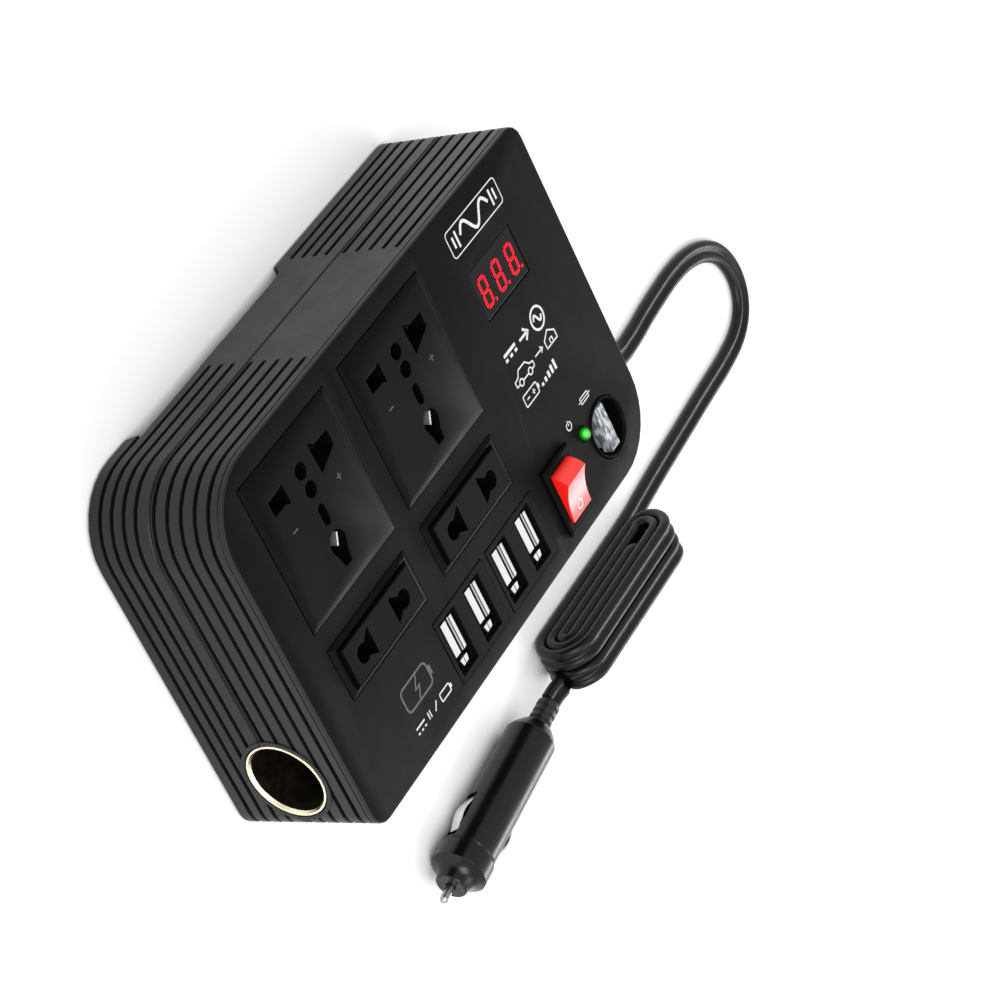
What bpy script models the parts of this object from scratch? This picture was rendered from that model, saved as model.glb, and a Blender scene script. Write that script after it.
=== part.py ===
"""Power inverter: a grooved two-piece casing with mains, USB and lighter outlets, a rocker switch, a pull-out
fuse, a small fan, and a twin supply lead that ends in a lighter plug.

The casing stands on its base. +X runs along the panel, +Y up the panel, +Z out of the panel, and the origin
is the middle of the casing's base. Dimensions are millimetres; MM turns them into metres when a mesh is made.
"""

import math

import bmesh
import bpy
from mathutils import Matrix, Vector

MM = 0.001
GAP = 0.3  # clearance between neighbouring pieces

# Casing
CASE_X = 170.8
CASE_Y = 107.0
CASE_Z = 45.0
BIG_CORNER = 20.5
SMALL_CORNER = 5.5
WALL = 2.6
ROOF = 2.4
FLOOR = 2.5
SEAM_LOW = 20.95
SEAM_HIGH = 21.25
GROOVE_DEPTH = 1.3
GROOVE_WIDTH = 1.4
GROOVE_SLOPE = 0.2
GROOVES_LOW = (4.6, 8.5, 12.5, 16.5)
GROOVES_HIGH = (22.6, 27.0, 31.5, 36.0, 40.4)
SEAM_BEVEL = 0.9  # each half draws in by this towards the parting line
RIM_LINE = (43.15, 43.6)  # fine groove just below the panel
RIM_LINE_DEPTH = 0.3
TOP_EDGE = ((44.5, 0.0), (44.85, 0.12), (CASE_Z, 0.45))
SMOOTH_FROM = -25.0  # the plain stretch in the middle of the long +Y side
SMOOTH_TO = 24.0
SLOT_HEIGHT = 1.1
VENT_LEFT = (-61.0, -26.0)
VENT_RIGHT = (25.0, 79.0)
RIB_PITCH = 9.0
FOOT_HEIGHT = 5.0
FOOT_DEPTH = 30.0
FOOT_RAMP = (-57.0, -54.0)
FOOT_COVE = (14.0, 21.0)
PAD_PROUD = 0.3  # how far the round pads stand out of the end walls

# Screws
SCREWS = ((-78.2, 22.0), (-78.2, -12.0), (77.5, 40.0), (77.5, -6.0))
POST_R = 3.7
SCREW_R = 1.4
SCREW_HEAD_R = 2.7
SCREW_HEAD_HEIGHT = 1.8
SCREW_SEAT = 6.0
SCREW_END = 33.0
CROSS_ARM = 1.6
CROSS_HALF = 0.35

# Outlets on the panel: (x, y) of each centre
UNIVERSAL = {"left": (-51.1, 24.3), "right": (0.0, 24.3)}
UNIVERSAL_HALF = (21.7, 22.7)
UNIVERSAL_TOP = CASE_Z + 0.9
UNIVERSAL_BEVEL = 2.3
SOCKET_FLOOR = 28.0  # bottom of the contact chambers
SOCKET_UNDER = 25.0
TWO_PIN = {"left": (-51.3, -12.9), "right": (-1.0, -12.9)}
TWO_PIN_HALF = (20.3, 8.1)
TWO_PIN_RIM = CASE_Z + 0.6
TWO_PIN_TOP = CASE_Z + 1.6
TWO_PIN_MOAT = CASE_Z - 0.2
TWO_PIN_FLOOR = 32.5
USB = {"left": (-19.9, -37.8), "right": (10.3, -37.8)}
USB_HALF = (13.7, 10.25)
USB_PORTS = (-8.0, 6.0)
USB_PORT_HALF = (4.0, 8.4)
USB_SHELL = (33.8, 43.9)  # bottom and mouth of each shell
USB_SHELL_WALL = 0.4
DISPLAY = (51.7, 25.6)
DISPLAY_HALF = (12.2, 7.6)
ROCKER = (37.7, -38.0)
ROCKER_PIVOT_Z = 44.5
ROCKER_R = 8.1
ROCKER_HALF_X = 5.2
ROCKER_TILT = 16.5
ROCKER_CORNER = 37.0  # where each end of its hollow top stands on the turning circle, in degrees
ROCKER_HOLLOW = 0.9
TRUNNION_R = 1.2
ROCKER_BODY = (6.7, 9.9)
ROCKER_FLANGE = (7.5, 11.0)
LED = (54.6, -31.3)
LED_R = 2.2
LED_DOME = (45.2, 47.3)  # foot and crown of its dome
FUSE = (65.8, -37.2)
FUSE_WELL_R = 8.9
FUSE_BORE_R = 8.0
FUSE_HALF = (2.3, 7.1)
FUSE_TOP = CASE_Z
FUSE_SEAT = 36.0
FUSE_UNDER = 32.0

# Lighter outlet in the -X end and lead exit in the +X end: (y, z) of each axis
LIGHTER = (-36.0, 23.2)
LIGHTER_BORE = 10.8
LIGHTER_OUTER = 11.9
LIGHTER_LIP = 0.45  # flare of the bore's mouth
LIGHTER_WALL = 0.8
LIGHTER_PAD = 13.3
LIGHTER_BACK = -46.0
EXIT = (-26.0, 21.1)
EXIT_HOLE = 4.5
EXIT_PAD = 8.5
GLAND_END = 100.5

# Supply lead: a flat twin flex, laid as a round tube of about its area
FLEX_R = 2.4
LEAD_STEP = 9.0
TAIL_STEP = 3.0
LAID = 2.5  # height of the tube's centre where it lies on the ground
LEAD_ROUTE = (
    (102.4, -26.0, 21.1),
    (106.4, -27.0, 20.5),
    (110.6, -32.3, 17.5),
    (114.2, -41.0, 12.6),
    (119.2, -49.2, 8.0),
    (126.8, -56.4, 4.3),
    (137.0, -60.6, 2.6),
    (148.0, -60.6, LAID),
    (158.0, -59.6, LAID),
    (168.0, -59.0, LAID),
    (178.0, -58.8, LAID),
    (188.0, -59.9, LAID),
    (197.5, -63.2, LAID),
    (205.0, -69.3, LAID),
    (208.4, -77.5, LAID),
    (207.6, -85.6, LAID),
    (203.0, -92.0, LAID),
    (195.0, -95.9, LAID),
    (183.0, -97.6, LAID),
    (169.0, -98.2, LAID),
    (150.5, -99.2, LAID),
    (132.0, -100.2, LAID),
    (118.0, -101.2, LAID),
    (109.6, -101.9, LAID),
)
HANK_X = (39.5, 110.0)
HANK_Y = (-113.2, -98.4)
HANK_R = 10.15
TAIL_ROUTE = (
    (39.1, -109.4, 9.6),
    (36.8, -109.6, 9.2),
    (34.4, -109.9, 8.8),
    (31.9, -110.2, 8.6),
)

# Plug: stations along its axis from the rear end of its body
PLUG_REAR = (21.5, -111.3, 8.6)
PLUG_YAW = 186.0
PLUG_ROLL = 25.0
PLUG_R = 7.9
PLUG_RING_R = 8.5
PLUG_BORE = 5.8
PLUG_BODY_END = 48.5
PLUG_RING_END = 55.3
PLUG_NOSE_END = 60.3
PLUG_TIP_END = 66.0
TIP_R = 1.3
TIP_FLANGE_R = 3.2
RELIEF_END = -10.0
RELIEF_R = 3.5
SPRING_SPAN = (32.2, 45.0)
SPRING_HALF = 2.2
SPRING_RISE = 1.7
SPRING_THICK = 0.5
WINDOW_START = 31.5

# Electronics
BOARD = (-42.0, 70.0, -47.0, 37.0)
BOARD_LOW = 10.0
BOARD_THICK = 1.6
CORE = (30.0, 62.0, -14.0, 14.0, 12.0, 33.0)
CORE_LEG = 4.5
HEATSINK_Y = (14.0, 32.0)
HEATSINK_LOW = 12.0
HEATSINK_BASE = 15.0
HEATSINK_TOP = 23.0
HEATSINK_RIGHT = -2.0
FIN_COUNT = 6
FIN_PITCH = 7.2
FIN_THICK = 2.0
CAPACITOR = (10.0, -28.0)
CAPACITOR_R = 8.0
CAPACITOR_Z = (11.9, 28.6)

# Fan behind the vents of the +Y side
FAN = (52.0, 23.4)
FAN_HALF = 14.5
FAN_Y = (38.2, 48.0)
FAN_BORE = 13.2
FAN_HUB = 5.4
FAN_BLADES = 7

BLACK_ABS = ("black_abs", (0.022, 0.022, 0.024), 0.5, 0.0)
PANEL_BLACK = ("socket_black", (0.012, 0.012, 0.013), 0.4, 0.0)
BRASS = ("brass", (0.62, 0.46, 0.2), 0.3, 1.0)
STEEL = ("steel", (0.6, 0.6, 0.6), 0.3, 1.0)
NICKEL = ("nickel", (0.75, 0.75, 0.74), 0.2, 1.0)
WHITE = ("white_plastic", (0.8, 0.8, 0.8), 0.4, 0.0)
RED = ("red_rocker", (0.75, 0.02, 0.015), 0.3, 0.0)
GREEN = ("green_led", (0.02, 0.5, 0.06), 0.15, 0.0)
CLEAR = ("clear_fuse", (0.75, 0.78, 0.8), 0.1, 0.0)
SMOKE = ("display_smoke", (0.01, 0.004, 0.004), 0.08, 0.0)
BOARD_GREEN = ("board_green", (0.02, 0.13, 0.05), 0.4, 0.0)
FERRITE = ("ferrite", (0.05, 0.05, 0.055), 0.6, 0.0)
COPPER = ("copper", (0.72, 0.3, 0.12), 0.35, 1.0)
ALUMINIUM = ("aluminium", (0.6, 0.61, 0.62), 0.35, 1.0)
SLEEVE = ("capacitor_sleeve", (0.02, 0.04, 0.12), 0.35, 0.0)
FLEX_PVC = ("flex_pvc", (0.012, 0.012, 0.013), 0.35, 0.0)


# ---------------------------------------------------------------- mesh helpers


def material(spec):
    name, colour, roughness, metallic = spec
    found = bpy.data.materials.get(name)
    if found:
        return found
    made = bpy.data.materials.new(name)
    made.use_nodes = True
    shader = made.node_tree.nodes["Principled BSDF"]
    shader.inputs["Base Color"].default_value = (*colour, 1.0)
    shader.inputs["Roughness"].default_value = roughness
    shader.inputs["Metallic"].default_value = metallic
    made.diffuse_color = (*colour, 1.0)
    return made


def loft(rings):
    """A closed body through rings that all have the same number of corners."""
    bm = bmesh.new()
    loops = [[bm.verts.new(p) for p in ring] for ring in rings]
    count = len(loops[0])
    for low, high in zip(loops, loops[1:]):
        for i in range(count):
            j = (i + 1) % count
            bm.faces.new((low[i], low[j], high[j], high[i]))
    bm.faces.new(loops[0][::-1])
    bm.faces.new(loops[-1])
    bmesh.ops.recalc_face_normals(bm, faces=bm.faces)
    return bm


def prism(outline, z0, z1):
    return loft([[(x, y, z) for x, y in outline] for z in (z0, z1)])


def rectangle(half_x, half_y, x=0.0, y=0.0):
    return [
        (x - half_x, y - half_y),
        (x + half_x, y - half_y),
        (x + half_x, y + half_y),
        (x - half_x, y + half_y),
    ]


def box(x0, x1, y0, y1, z0, z1):
    return prism([(x0, y0), (x1, y0), (x1, y1), (x0, y1)], z0, z1)


def stepped_box(centre, steps):
    """A body of square-cornered rings: steps are (half_x, half_y, z)."""
    rings = []
    for half_x, half_y, z in steps:
        rings.append([(x, y, z) for x, y in rectangle(half_x, half_y, *centre)])
    return loft(rings)


def circle(radius, segments, x=0.0, y=0.0):
    step = math.tau / segments
    return [(x + radius * math.cos(i * step), y + radius * math.sin(i * step)) for i in range(segments)]


def arc(radius, start, end, steps, x=0.0, y=0.0):
    """Points on an arc from start to end, in degrees, both ends included."""
    points = []
    for i in range(steps + 1):
        angle = math.radians(start + (end - start) * i / steps)
        points.append((x + radius * math.cos(angle), y + radius * math.sin(angle)))
    return points


def turned(profile, segments):
    """A profile of (radius, height) points turned about Z: it ends on the axis, or closes as a ring."""
    bm = bmesh.new()
    rings = []
    for radius, z in profile:
        if radius < 1e-6:
            rings.append([bm.verts.new((0.0, 0.0, z))])
        else:
            rings.append([bm.verts.new((x, y, z)) for x, y in circle(radius, segments)])
    pairs = list(zip(rings, rings[1:]))
    if len(rings[0]) > 1:
        pairs.append((rings[-1], rings[0]))
    for a, b in pairs:
        for i in range(segments):
            j = (i + 1) % segments
            corners = [a[i % len(a)], a[j % len(a)], b[j % len(b)], b[i % len(b)]]
            bm.faces.new(list(dict.fromkeys(corners)))
    bmesh.ops.recalc_face_normals(bm, faces=bm.faces)
    return bm


def joined(*parts):
    """Several separate bodies in one mesh."""
    whole = bmesh.new()
    for part in parts:
        mesh = bpy.data.meshes.new("joined")
        part.to_mesh(mesh)
        part.free()
        whole.from_mesh(mesh)
        bpy.data.meshes.remove(mesh)
    return whole


def moved(bm, matrix):
    bmesh.ops.transform(bm, matrix=matrix, verts=bm.verts)
    return bm


def at(x, y, z):
    return Matrix.Translation((x, y, z))


def along_x(x, y, z):
    """Local Z becomes world +X, local X world -Z."""
    return at(x, y, z) @ Matrix.Rotation(math.radians(90), 4, "Y")


def along_y(x, y, z):
    """Local Z becomes world +Y, local Y world -Z."""
    return at(x, y, z) @ Matrix.Rotation(math.radians(-90), 4, "X")


def add(name, bm, spec, origin=(0.0, 0.0, 0.0), sharp=30.0):
    """Makes the named piece from a mesh in millimetres; origin is where its joint axis or centre is."""
    moved(bm, Matrix.Scale(MM, 4) @ Matrix.Translation(-Vector(origin)))
    mesh = bpy.data.meshes.new(name)
    bm.to_mesh(mesh)
    bm.free()
    mesh.shade_smooth()
    mesh.set_sharp_from_angle(angle=math.radians(sharp))
    mesh.materials.append(material(spec))
    piece = bpy.data.objects.new(name, mesh)
    piece.location = Vector(origin) * MM
    bpy.context.collection.objects.link(piece)
    return piece


def tool(name, bm):
    """A cutter or a boss: a body that only shapes its neighbour."""
    piece = add(name, bm, BLACK_ABS)
    piece.hide_render = True
    piece.display_type = "WIRE"
    return piece


def shape(piece, other, operation="DIFFERENCE"):
    step = piece.modifiers.new(other.name, "BOOLEAN")
    step.operation = operation
    step.solver = "EXACT"
    step.object = other


# ---------------------------------------------------------------- casing


def case_outline():
    """Corners of the plan as (x, y, normal_x, normal_y, groove): groove is 0 on the plain stretches."""
    half_x = CASE_X / 2
    half_y = CASE_Y / 2
    corners = (
        (half_x, half_y, SMALL_CORNER, 0, 4),
        (-half_x, half_y, BIG_CORNER, 90, 8),
        (-half_x, -half_y, SMALL_CORNER, 180, 4),
        (half_x, -half_y, BIG_CORNER, 270, 8),
    )
    points = []
    for x, y, radius, start, steps in corners:
        centre_x = x - math.copysign(radius, x)
        centre_y = y - math.copysign(radius, y)
        for nx, ny in arc(1.0, start, start + 90, steps):
            points.append((centre_x + radius * nx, centre_y + radius * ny, nx, ny, 1.0))
        if start in (0, 180):
            side = math.copysign(1.0, y)
            for along, groove in (
                (SMOOTH_TO + 0.4, 1.0),
                (SMOOTH_TO, 0.0),
                (SMOOTH_FROM, 0.0),
                (SMOOTH_FROM - 0.4, 1.0),
            ):
                points.append((side * along, side * half_y, 0.0, side, groove))
    return points


def inset_outline(inset):
    return [(x - nx * inset, y - ny * inset) for x, y, nx, ny, _ in case_outline()]


def groove_rows(z):
    """One groove as profile rows (z, plain inset, groove inset)."""
    half = GROOVE_WIDTH / 2
    return [
        (z - half, 0.0, 0.0),
        (z - half + GROOVE_SLOPE, 0.0, GROOVE_DEPTH),
        (z + half - GROOVE_SLOPE, 0.0, GROOVE_DEPTH),
        (z + half, 0.0, 0.0),
    ]


def skin(rows):
    """The outside of a casing half from rows of (z, plain inset, groove inset)."""
    outline = case_outline()
    rings = []
    for z, plain, groove in rows:
        ring = []
        for x, y, nx, ny, grooved in outline:
            inset = plain + grooved * groove
            ring.append((x - nx * inset, y - ny * inset, z))
        rings.append(ring)
    return loft(rings)


def end_pad(side, y, z, radius):
    """A round pad on an end wall, side -1 for -X or +1 for +X."""
    outer = side * (CASE_X / 2 + PAD_PROUD)
    inner = side * (CASE_X / 2 - WALL + 0.6)
    depth = outer - inner
    disc = prism(circle(radius, 32), 0.0, 1.0)
    return moved(disc, along_x(inner, y, z) @ Matrix.Scale(depth, 4, (0, 0, 1)))


def vent_slots(levels):
    """Cutters for the slots in the long sides; the -Y side is open only over its right-hand group."""
    half_y = CASE_Y / 2
    slots = []
    for z in levels:
        low = z - SLOT_HEIGHT / 2
        high = z + SLOT_HEIGHT / 2
        for x0, x1 in (VENT_LEFT, VENT_RIGHT):
            slots.append(box(x0, x1, half_y - WALL - 1.1, half_y + 1, low, high))
        slots.append(box(VENT_RIGHT[0] + 2, 58.0, -half_y - 1, -half_y + WALL + 0.2, low, high))
    return joined(*slots)


def vent_ribs(z0, z1):
    """Upright ribs behind the slots of the +Y side that hold the strips between them."""
    inner = CASE_Y / 2 - WALL
    ribs = []
    for x0, x1 in (VENT_LEFT, VENT_RIGHT):
        count = int((x1 - x0) // RIB_PITCH)
        for i in range(1, count):
            x = x0 + (x1 - x0) * i / count
            ribs.append(box(x - 0.6, x + 0.6, inner - 1.5, inner + 0.4, z0, z1))
    return ribs


def panel_cutters():
    z0 = CASE_Z - ROOF - 1.0
    z1 = CASE_Z + 1.0
    rooms = []
    rectangles = (
        (UNIVERSAL, UNIVERSAL_HALF),
        (TWO_PIN, TWO_PIN_HALF),
        (USB, USB_HALF),
        ({"": DISPLAY}, DISPLAY_HALF),
        ({"": ROCKER}, ROCKER_BODY),
    )
    for places, (half_x, half_y) in rectangles:
        for x, y in places.values():
            rooms.append(prism(rectangle(half_x + GAP, half_y + GAP, x, y), z0, z1))
    for (x, y), radius in ((LED, LED_R), (FUSE, FUSE_WELL_R)):
        rooms.append(prism(circle(radius + GAP, 16 if radius < 5 else 32, x, y), z0, z1))
    return joined(*rooms)


def end_holes():
    """Round ways through both end walls, for the lighter outlet and the lead's gland."""
    lighter = prism(circle(LIGHTER_OUTER + GAP, 32), 0.0, 6.0)
    gland = prism(circle(EXIT_HOLE, 24), 0.0, 6.0)
    left = moved(lighter, along_x(-CASE_X / 2 - 1.5, *LIGHTER))
    right = moved(gland, along_x(CASE_X / 2 - 4.5, *EXIT))
    return joined(left, right)


def casing_top():
    rows = [(SEAM_HIGH + 0.35 - SEAM_BEVEL, SEAM_BEVEL, 0.0), (SEAM_HIGH + 0.35, 0.0, 0.0)]
    for z in GROOVES_HIGH:
        rows += groove_rows(z)
    low, high = RIM_LINE
    rows += [(low, 0.0, 0.0), (low + 0.1, RIM_LINE_DEPTH, 0.0)]
    rows += [(high - 0.1, RIM_LINE_DEPTH, 0.0), (high, 0.0, 0.0)]
    rows += [(z, inset, 0.0) for z, inset in TOP_EDGE]
    top = add("casing_top", skin(rows), BLACK_ABS)
    pads = joined(end_pad(-1, *LIGHTER, LIGHTER_PAD), end_pad(1, *EXIT, EXIT_PAD))
    shape(top, tool("pads_top", pads), "UNION")
    below = box(-CASE_X, CASE_X, -CASE_Y, CASE_Y, 0.0, SEAM_HIGH)
    shape(top, tool("below_seam", below))
    hollow = prism(inset_outline(WALL), SEAM_HIGH - 2.0, CASE_Z - ROOF)
    shape(top, tool("hollow_top", hollow))
    posts = [prism(circle(POST_R, 16, x, y), SEAM_HIGH + 0.05, CASE_Z - 1.2) for x, y in SCREWS]
    posts += vent_ribs(SEAM_HIGH + 0.4, CASE_Z - 1.2)
    shape(top, tool("posts_top", joined(*posts)), "UNION")
    pilots = [prism(circle(SCREW_R + GAP, 12, x, y), SEAM_HIGH - 1.0, SCREW_END + 1.5) for x, y in SCREWS]
    shape(top, tool("pilots", joined(*pilots)))
    shape(top, tool("panel_openings", panel_cutters()))
    shape(top, tool("slots_top", vent_slots(GROOVES_HIGH)))
    shape(top, tool("end_holes_top", end_holes()))


def foot_recess(side):
    """The raised stretch of the underside at one long side: a ramp at one end, a cove at the other."""
    ramp_foot, ramp_head = FOOT_RAMP
    cove_head, cove_foot = FOOT_COVE
    reach = cove_foot - cove_head
    cove = arc(1.0, 90, 0, 5)
    outline = [(ramp_foot, -1.0), (ramp_foot, 0.0), (ramp_head, FOOT_HEIGHT)]
    outline += [(cove_head + reach * x, FOOT_HEIGHT * y) for x, y in cove]
    outline.append((cove_foot, -1.0))
    half_y = CASE_Y / 2
    start = half_y - FOOT_DEPTH
    rings = []
    for y in (start, half_y + 2.0):
        rings.append([(side * x, side * y, z) for x, z in outline])
    return loft(rings)


def casing_bottom():
    rows = [(0.0, 0.8, 0.0), (0.8, 0.0, 0.0)]
    for z in GROOVES_LOW:
        rows += groove_rows(z)
    rows += [(SEAM_LOW - 0.35, 0.0, 0.0), (SEAM_LOW - 0.35 + SEAM_BEVEL, SEAM_BEVEL, 0.0)]
    bottom = add("casing_bottom", skin(rows), BLACK_ABS)
    pads = joined(end_pad(-1, *LIGHTER, LIGHTER_PAD), end_pad(1, *EXIT, EXIT_PAD))
    shape(bottom, tool("pads_bottom", pads), "UNION")
    above = box(-CASE_X, CASE_X, -CASE_Y, CASE_Y, SEAM_LOW, CASE_Z)
    shape(bottom, tool("above_seam", above))
    hollow = prism(inset_outline(WALL), FOOT_HEIGHT + FLOOR, CASE_Z)
    shape(bottom, tool("hollow_bottom", hollow))
    low = tool("hollow_foot", prism(inset_outline(WALL), FLOOR, FOOT_HEIGHT + FLOOR + 1.0))
    half_y = CASE_Y / 2
    for side, name in ((1, "keep_back"), (-1, "keep_front")):
        x0, x1 = sorted((side * (FOOT_RAMP[0] - FLOOR), side * (FOOT_COVE[1] + FLOOR)))
        y0, y1 = sorted((side * (half_y - FOOT_DEPTH - FLOOR), side * (half_y + 1)))
        shape(low, tool(name, box(x0, x1, y0, y1, FLOOR - 1.0, CASE_Z)))
    shape(bottom, low)
    recesses = joined(foot_recess(1), foot_recess(-1))
    shape(bottom, tool("recesses", recesses))
    bosses = [prism(circle(POST_R + 0.6, 16, x, y), 1.3, SEAM_LOW - 0.05) for x, y in SCREWS]
    for x, y, foot in ((-32, 0, 1.3), (60, 0, 1.3), (-10, 30, 6.1), (30, -40, 6.1)):
        bosses.append(prism(circle(2.2, 12, x, y), foot, BOARD_LOW - GAP))
    bosses += vent_ribs(FOOT_HEIGHT + 1.3, SEAM_LOW - 0.4)
    shape(bottom, tool("bosses", joined(*bosses)), "UNION")
    bores = []
    for x, y in SCREWS:
        head = circle(SCREW_HEAD_R + GAP, 16, x, y)
        shank = circle(SCREW_R + GAP, 16, x, y)
        profile = [(head, -1.0), (head, SCREW_SEAT), (shank, SCREW_SEAT + 0.02), (shank, SEAM_LOW + 1.0)]
        bores.append(loft([[(px, py, z) for px, py in ring] for ring, z in profile]))
    shape(bottom, tool("screw_bores", joined(*bores)))
    shape(bottom, tool("slots_bottom", vent_slots(GROOVES_LOW[1:])))
    shape(bottom, tool("end_holes_bottom", end_holes()))


def case_screws():
    """Pan-head screws driven from underneath, each with a cross recess."""
    head_top = SCREW_SEAT - GAP
    head_low = head_top - SCREW_HEAD_HEIGHT
    profile = [
        (0.0, head_low),
        (SCREW_HEAD_R - 0.7, head_low),
        (SCREW_HEAD_R, head_low + 0.7),
        (SCREW_HEAD_R, head_top),
        (SCREW_R, head_top),
        (SCREW_R, SCREW_END - 1.5),
        (0.0, SCREW_END),
    ]
    quarter = ((CROSS_ARM, -CROSS_HALF), (CROSS_ARM, CROSS_HALF), (CROSS_HALF, CROSS_HALF))
    cross = []
    for turn in range(4):
        spin = Matrix.Rotation(math.radians(90 * turn), 2)
        cross += [tuple(spin @ Vector(corner)) for corner in quarter]
    for number, (x, y) in enumerate(SCREWS, 1):
        screw = add(f"case_screw_{number}", moved(turned(profile, 14), at(x, y, 0)), STEEL)
        recess = prism([(x + px, y + py) for px, py in cross], head_low - 1.0, head_low + 1.0)
        shape(screw, tool(f"recess_{number}", recess))


# ---------------------------------------------------------------- panel outlets


def universal_holes(x, y, z0, z1):
    """Pin ways of one universal socket: line, neutral, two round, one long and the earth keyhole."""
    neutral = [(2.8, 3.1), (1.0, 2.3), (-4.4, 2.3), (-4.4, -2.3), (1.0, -2.3), (2.8, -3.4)]
    line = [(-4.6, 4.7), (-1.5, 3.0), (4.2, 3.0), (4.2, -1.6), (-0.8, -3.4), (-4.2, -4.7)]
    long_way = arc(1.5, 0, 180, 5, 0, 1.7) + arc(1.5, 180, 360, 5, 0, -1.7)
    earth = arc(3.5, -10, 190, 10) + [(-2.2, -4.0), (-1.6, -6.6), (1.6, -6.6), (2.0, -3.6)]
    ways = (
        (line, 10.8, 11.3),
        (neutral, -10.8, 11.8),
        (circle(2.35, 16), 0.0, 12.3),
        (circle(2.35, 16), 0.3, 6.4),
        (long_way, 0.3, -1.6),
        (earth, 0.2, -10.5),
    )
    cutters = []
    for outline, dx, dy in ways:
        cutters.append(prism([(x + dx + px, y + dy + py) for px, py in outline], z0, z1))
    return joined(*cutters)


def strip_contact(x, y, z0, z1, half_x, half_y, thick):
    """A folded spring contact: two leaves joined at the foot, standing in its chamber."""
    outline = [
        (-half_x, z1),
        (-half_x, z0),
        (half_x, z0),
        (half_x, z1),
        (half_x - thick, z1),
        (half_x - thick, z0 + thick),
        (-half_x + thick, z0 + thick),
        (-half_x + thick, z1),
    ]
    return loft([[(x + px, y + side, pz) for px, pz in outline] for side in (-half_y, half_y)])


def universal_sockets():
    half_x, half_y = UNIVERSAL_HALF
    under = CASE_Z - ROOF - GAP
    plate_low = under - 1.5
    body_top = plate_low - GAP
    chambers = (
        ("live", 10.6, 11.2, 5.8, 5.4),
        ("neutral", -11.2, 11.8, 5.4, 5.0),
        ("earth", 0.2, -10.4, 4.2, 7.4),
    )
    for side, (x, y) in UNIVERSAL.items():
        steps = (
            (half_x, half_y, plate_low),
            (half_x, half_y, CASE_Z + 0.1),
            (half_x - UNIVERSAL_BEVEL, half_y - UNIVERSAL_BEVEL, UNIVERSAL_TOP),
        )
        plate = add(f"socket_plate_{side}", stepped_box((x, y), steps), PANEL_BLACK)
        shape(plate, tool(f"pin_ways_{side}", universal_holes(x, y, plate_low - 1.0, UNIVERSAL_TOP + 1.0)))
        block = box(x - 19.5, x + 19.5, y - 20.5, y + 20.5, SOCKET_UNDER, body_top)
        body = add(f"socket_body_{side}", block, PANEL_BLACK)
        rooms = []
        for _, dx, dy, hx, hy in chambers:
            rooms.append(prism(rectangle(hx, hy, x + dx, y + dy), SOCKET_FLOOR, body_top + 1.0))
        shape(body, tool(f"chambers_{side}", joined(*rooms)))
        for name, dx, dy, hx, hy in chambers:
            clip = strip_contact(x + dx, y + dy, SOCKET_FLOOR + GAP, body_top - 1.2, hx - 0.8, hy - 1.6, 0.6)
            add(f"contact_{name}_{side}", clip, BRASS)


def two_pin_sockets():
    """Narrow sockets whose middle stands up out of a moat; each pin way is a round with a tapering fin."""
    half_x, half_y = TWO_PIN_HALF
    under = CASE_Z - ROOF - GAP
    flange_low = under - 1.6
    pin = [(5.6, 4.3), (5.6, -4.3)] + arc(2.7, -130, 130, 12, 10.9, -0.3)
    for side, (x, y) in TWO_PIN.items():
        steps = (
            (17.5, 6.0, TWO_PIN_FLOOR - 2.0),
            (17.5, 6.0, flange_low),
            (half_x + 1.3, half_y + 1.2, flange_low + 0.02),
            (half_x + 1.3, half_y + 1.2, under),
            (half_x, half_y, under + 0.02),
            (half_x, half_y, CASE_Z),
            (half_x - 1.4, half_y - 1.1, TWO_PIN_RIM),
            (half_x - 1.9, half_y - 1.6, TWO_PIN_RIM),
            (half_x - 2.1, half_y - 1.8, TWO_PIN_MOAT),
            (half_x - 2.7, half_y - 2.2, TWO_PIN_MOAT),
            (half_x - 2.9, half_y - 2.4, TWO_PIN_TOP - 0.2),
            (half_x - 3.1, half_y - 2.6, TWO_PIN_TOP),
        )
        body = add(f"two_pin_{side}", stepped_box((x, y), steps), PANEL_BLACK)
        ways = []
        for flip in (1, -1):
            outline = [(x + flip * px, y + py) for px, py in pin]
            ways.append(prism(outline, TWO_PIN_FLOOR, TWO_PIN_TOP + 1.0))
        shape(body, tool(f"two_pin_ways_{side}", joined(*ways)))
        for flip, name in ((1, "right"), (-1, "left")):
            clip = strip_contact(x + flip * 9.8, y, TWO_PIN_FLOOR + GAP, 41.0, 2.0, 1.0, 0.5)
            add(f"two_pin_contact_{side}_{name}", clip, BRASS)


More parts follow.
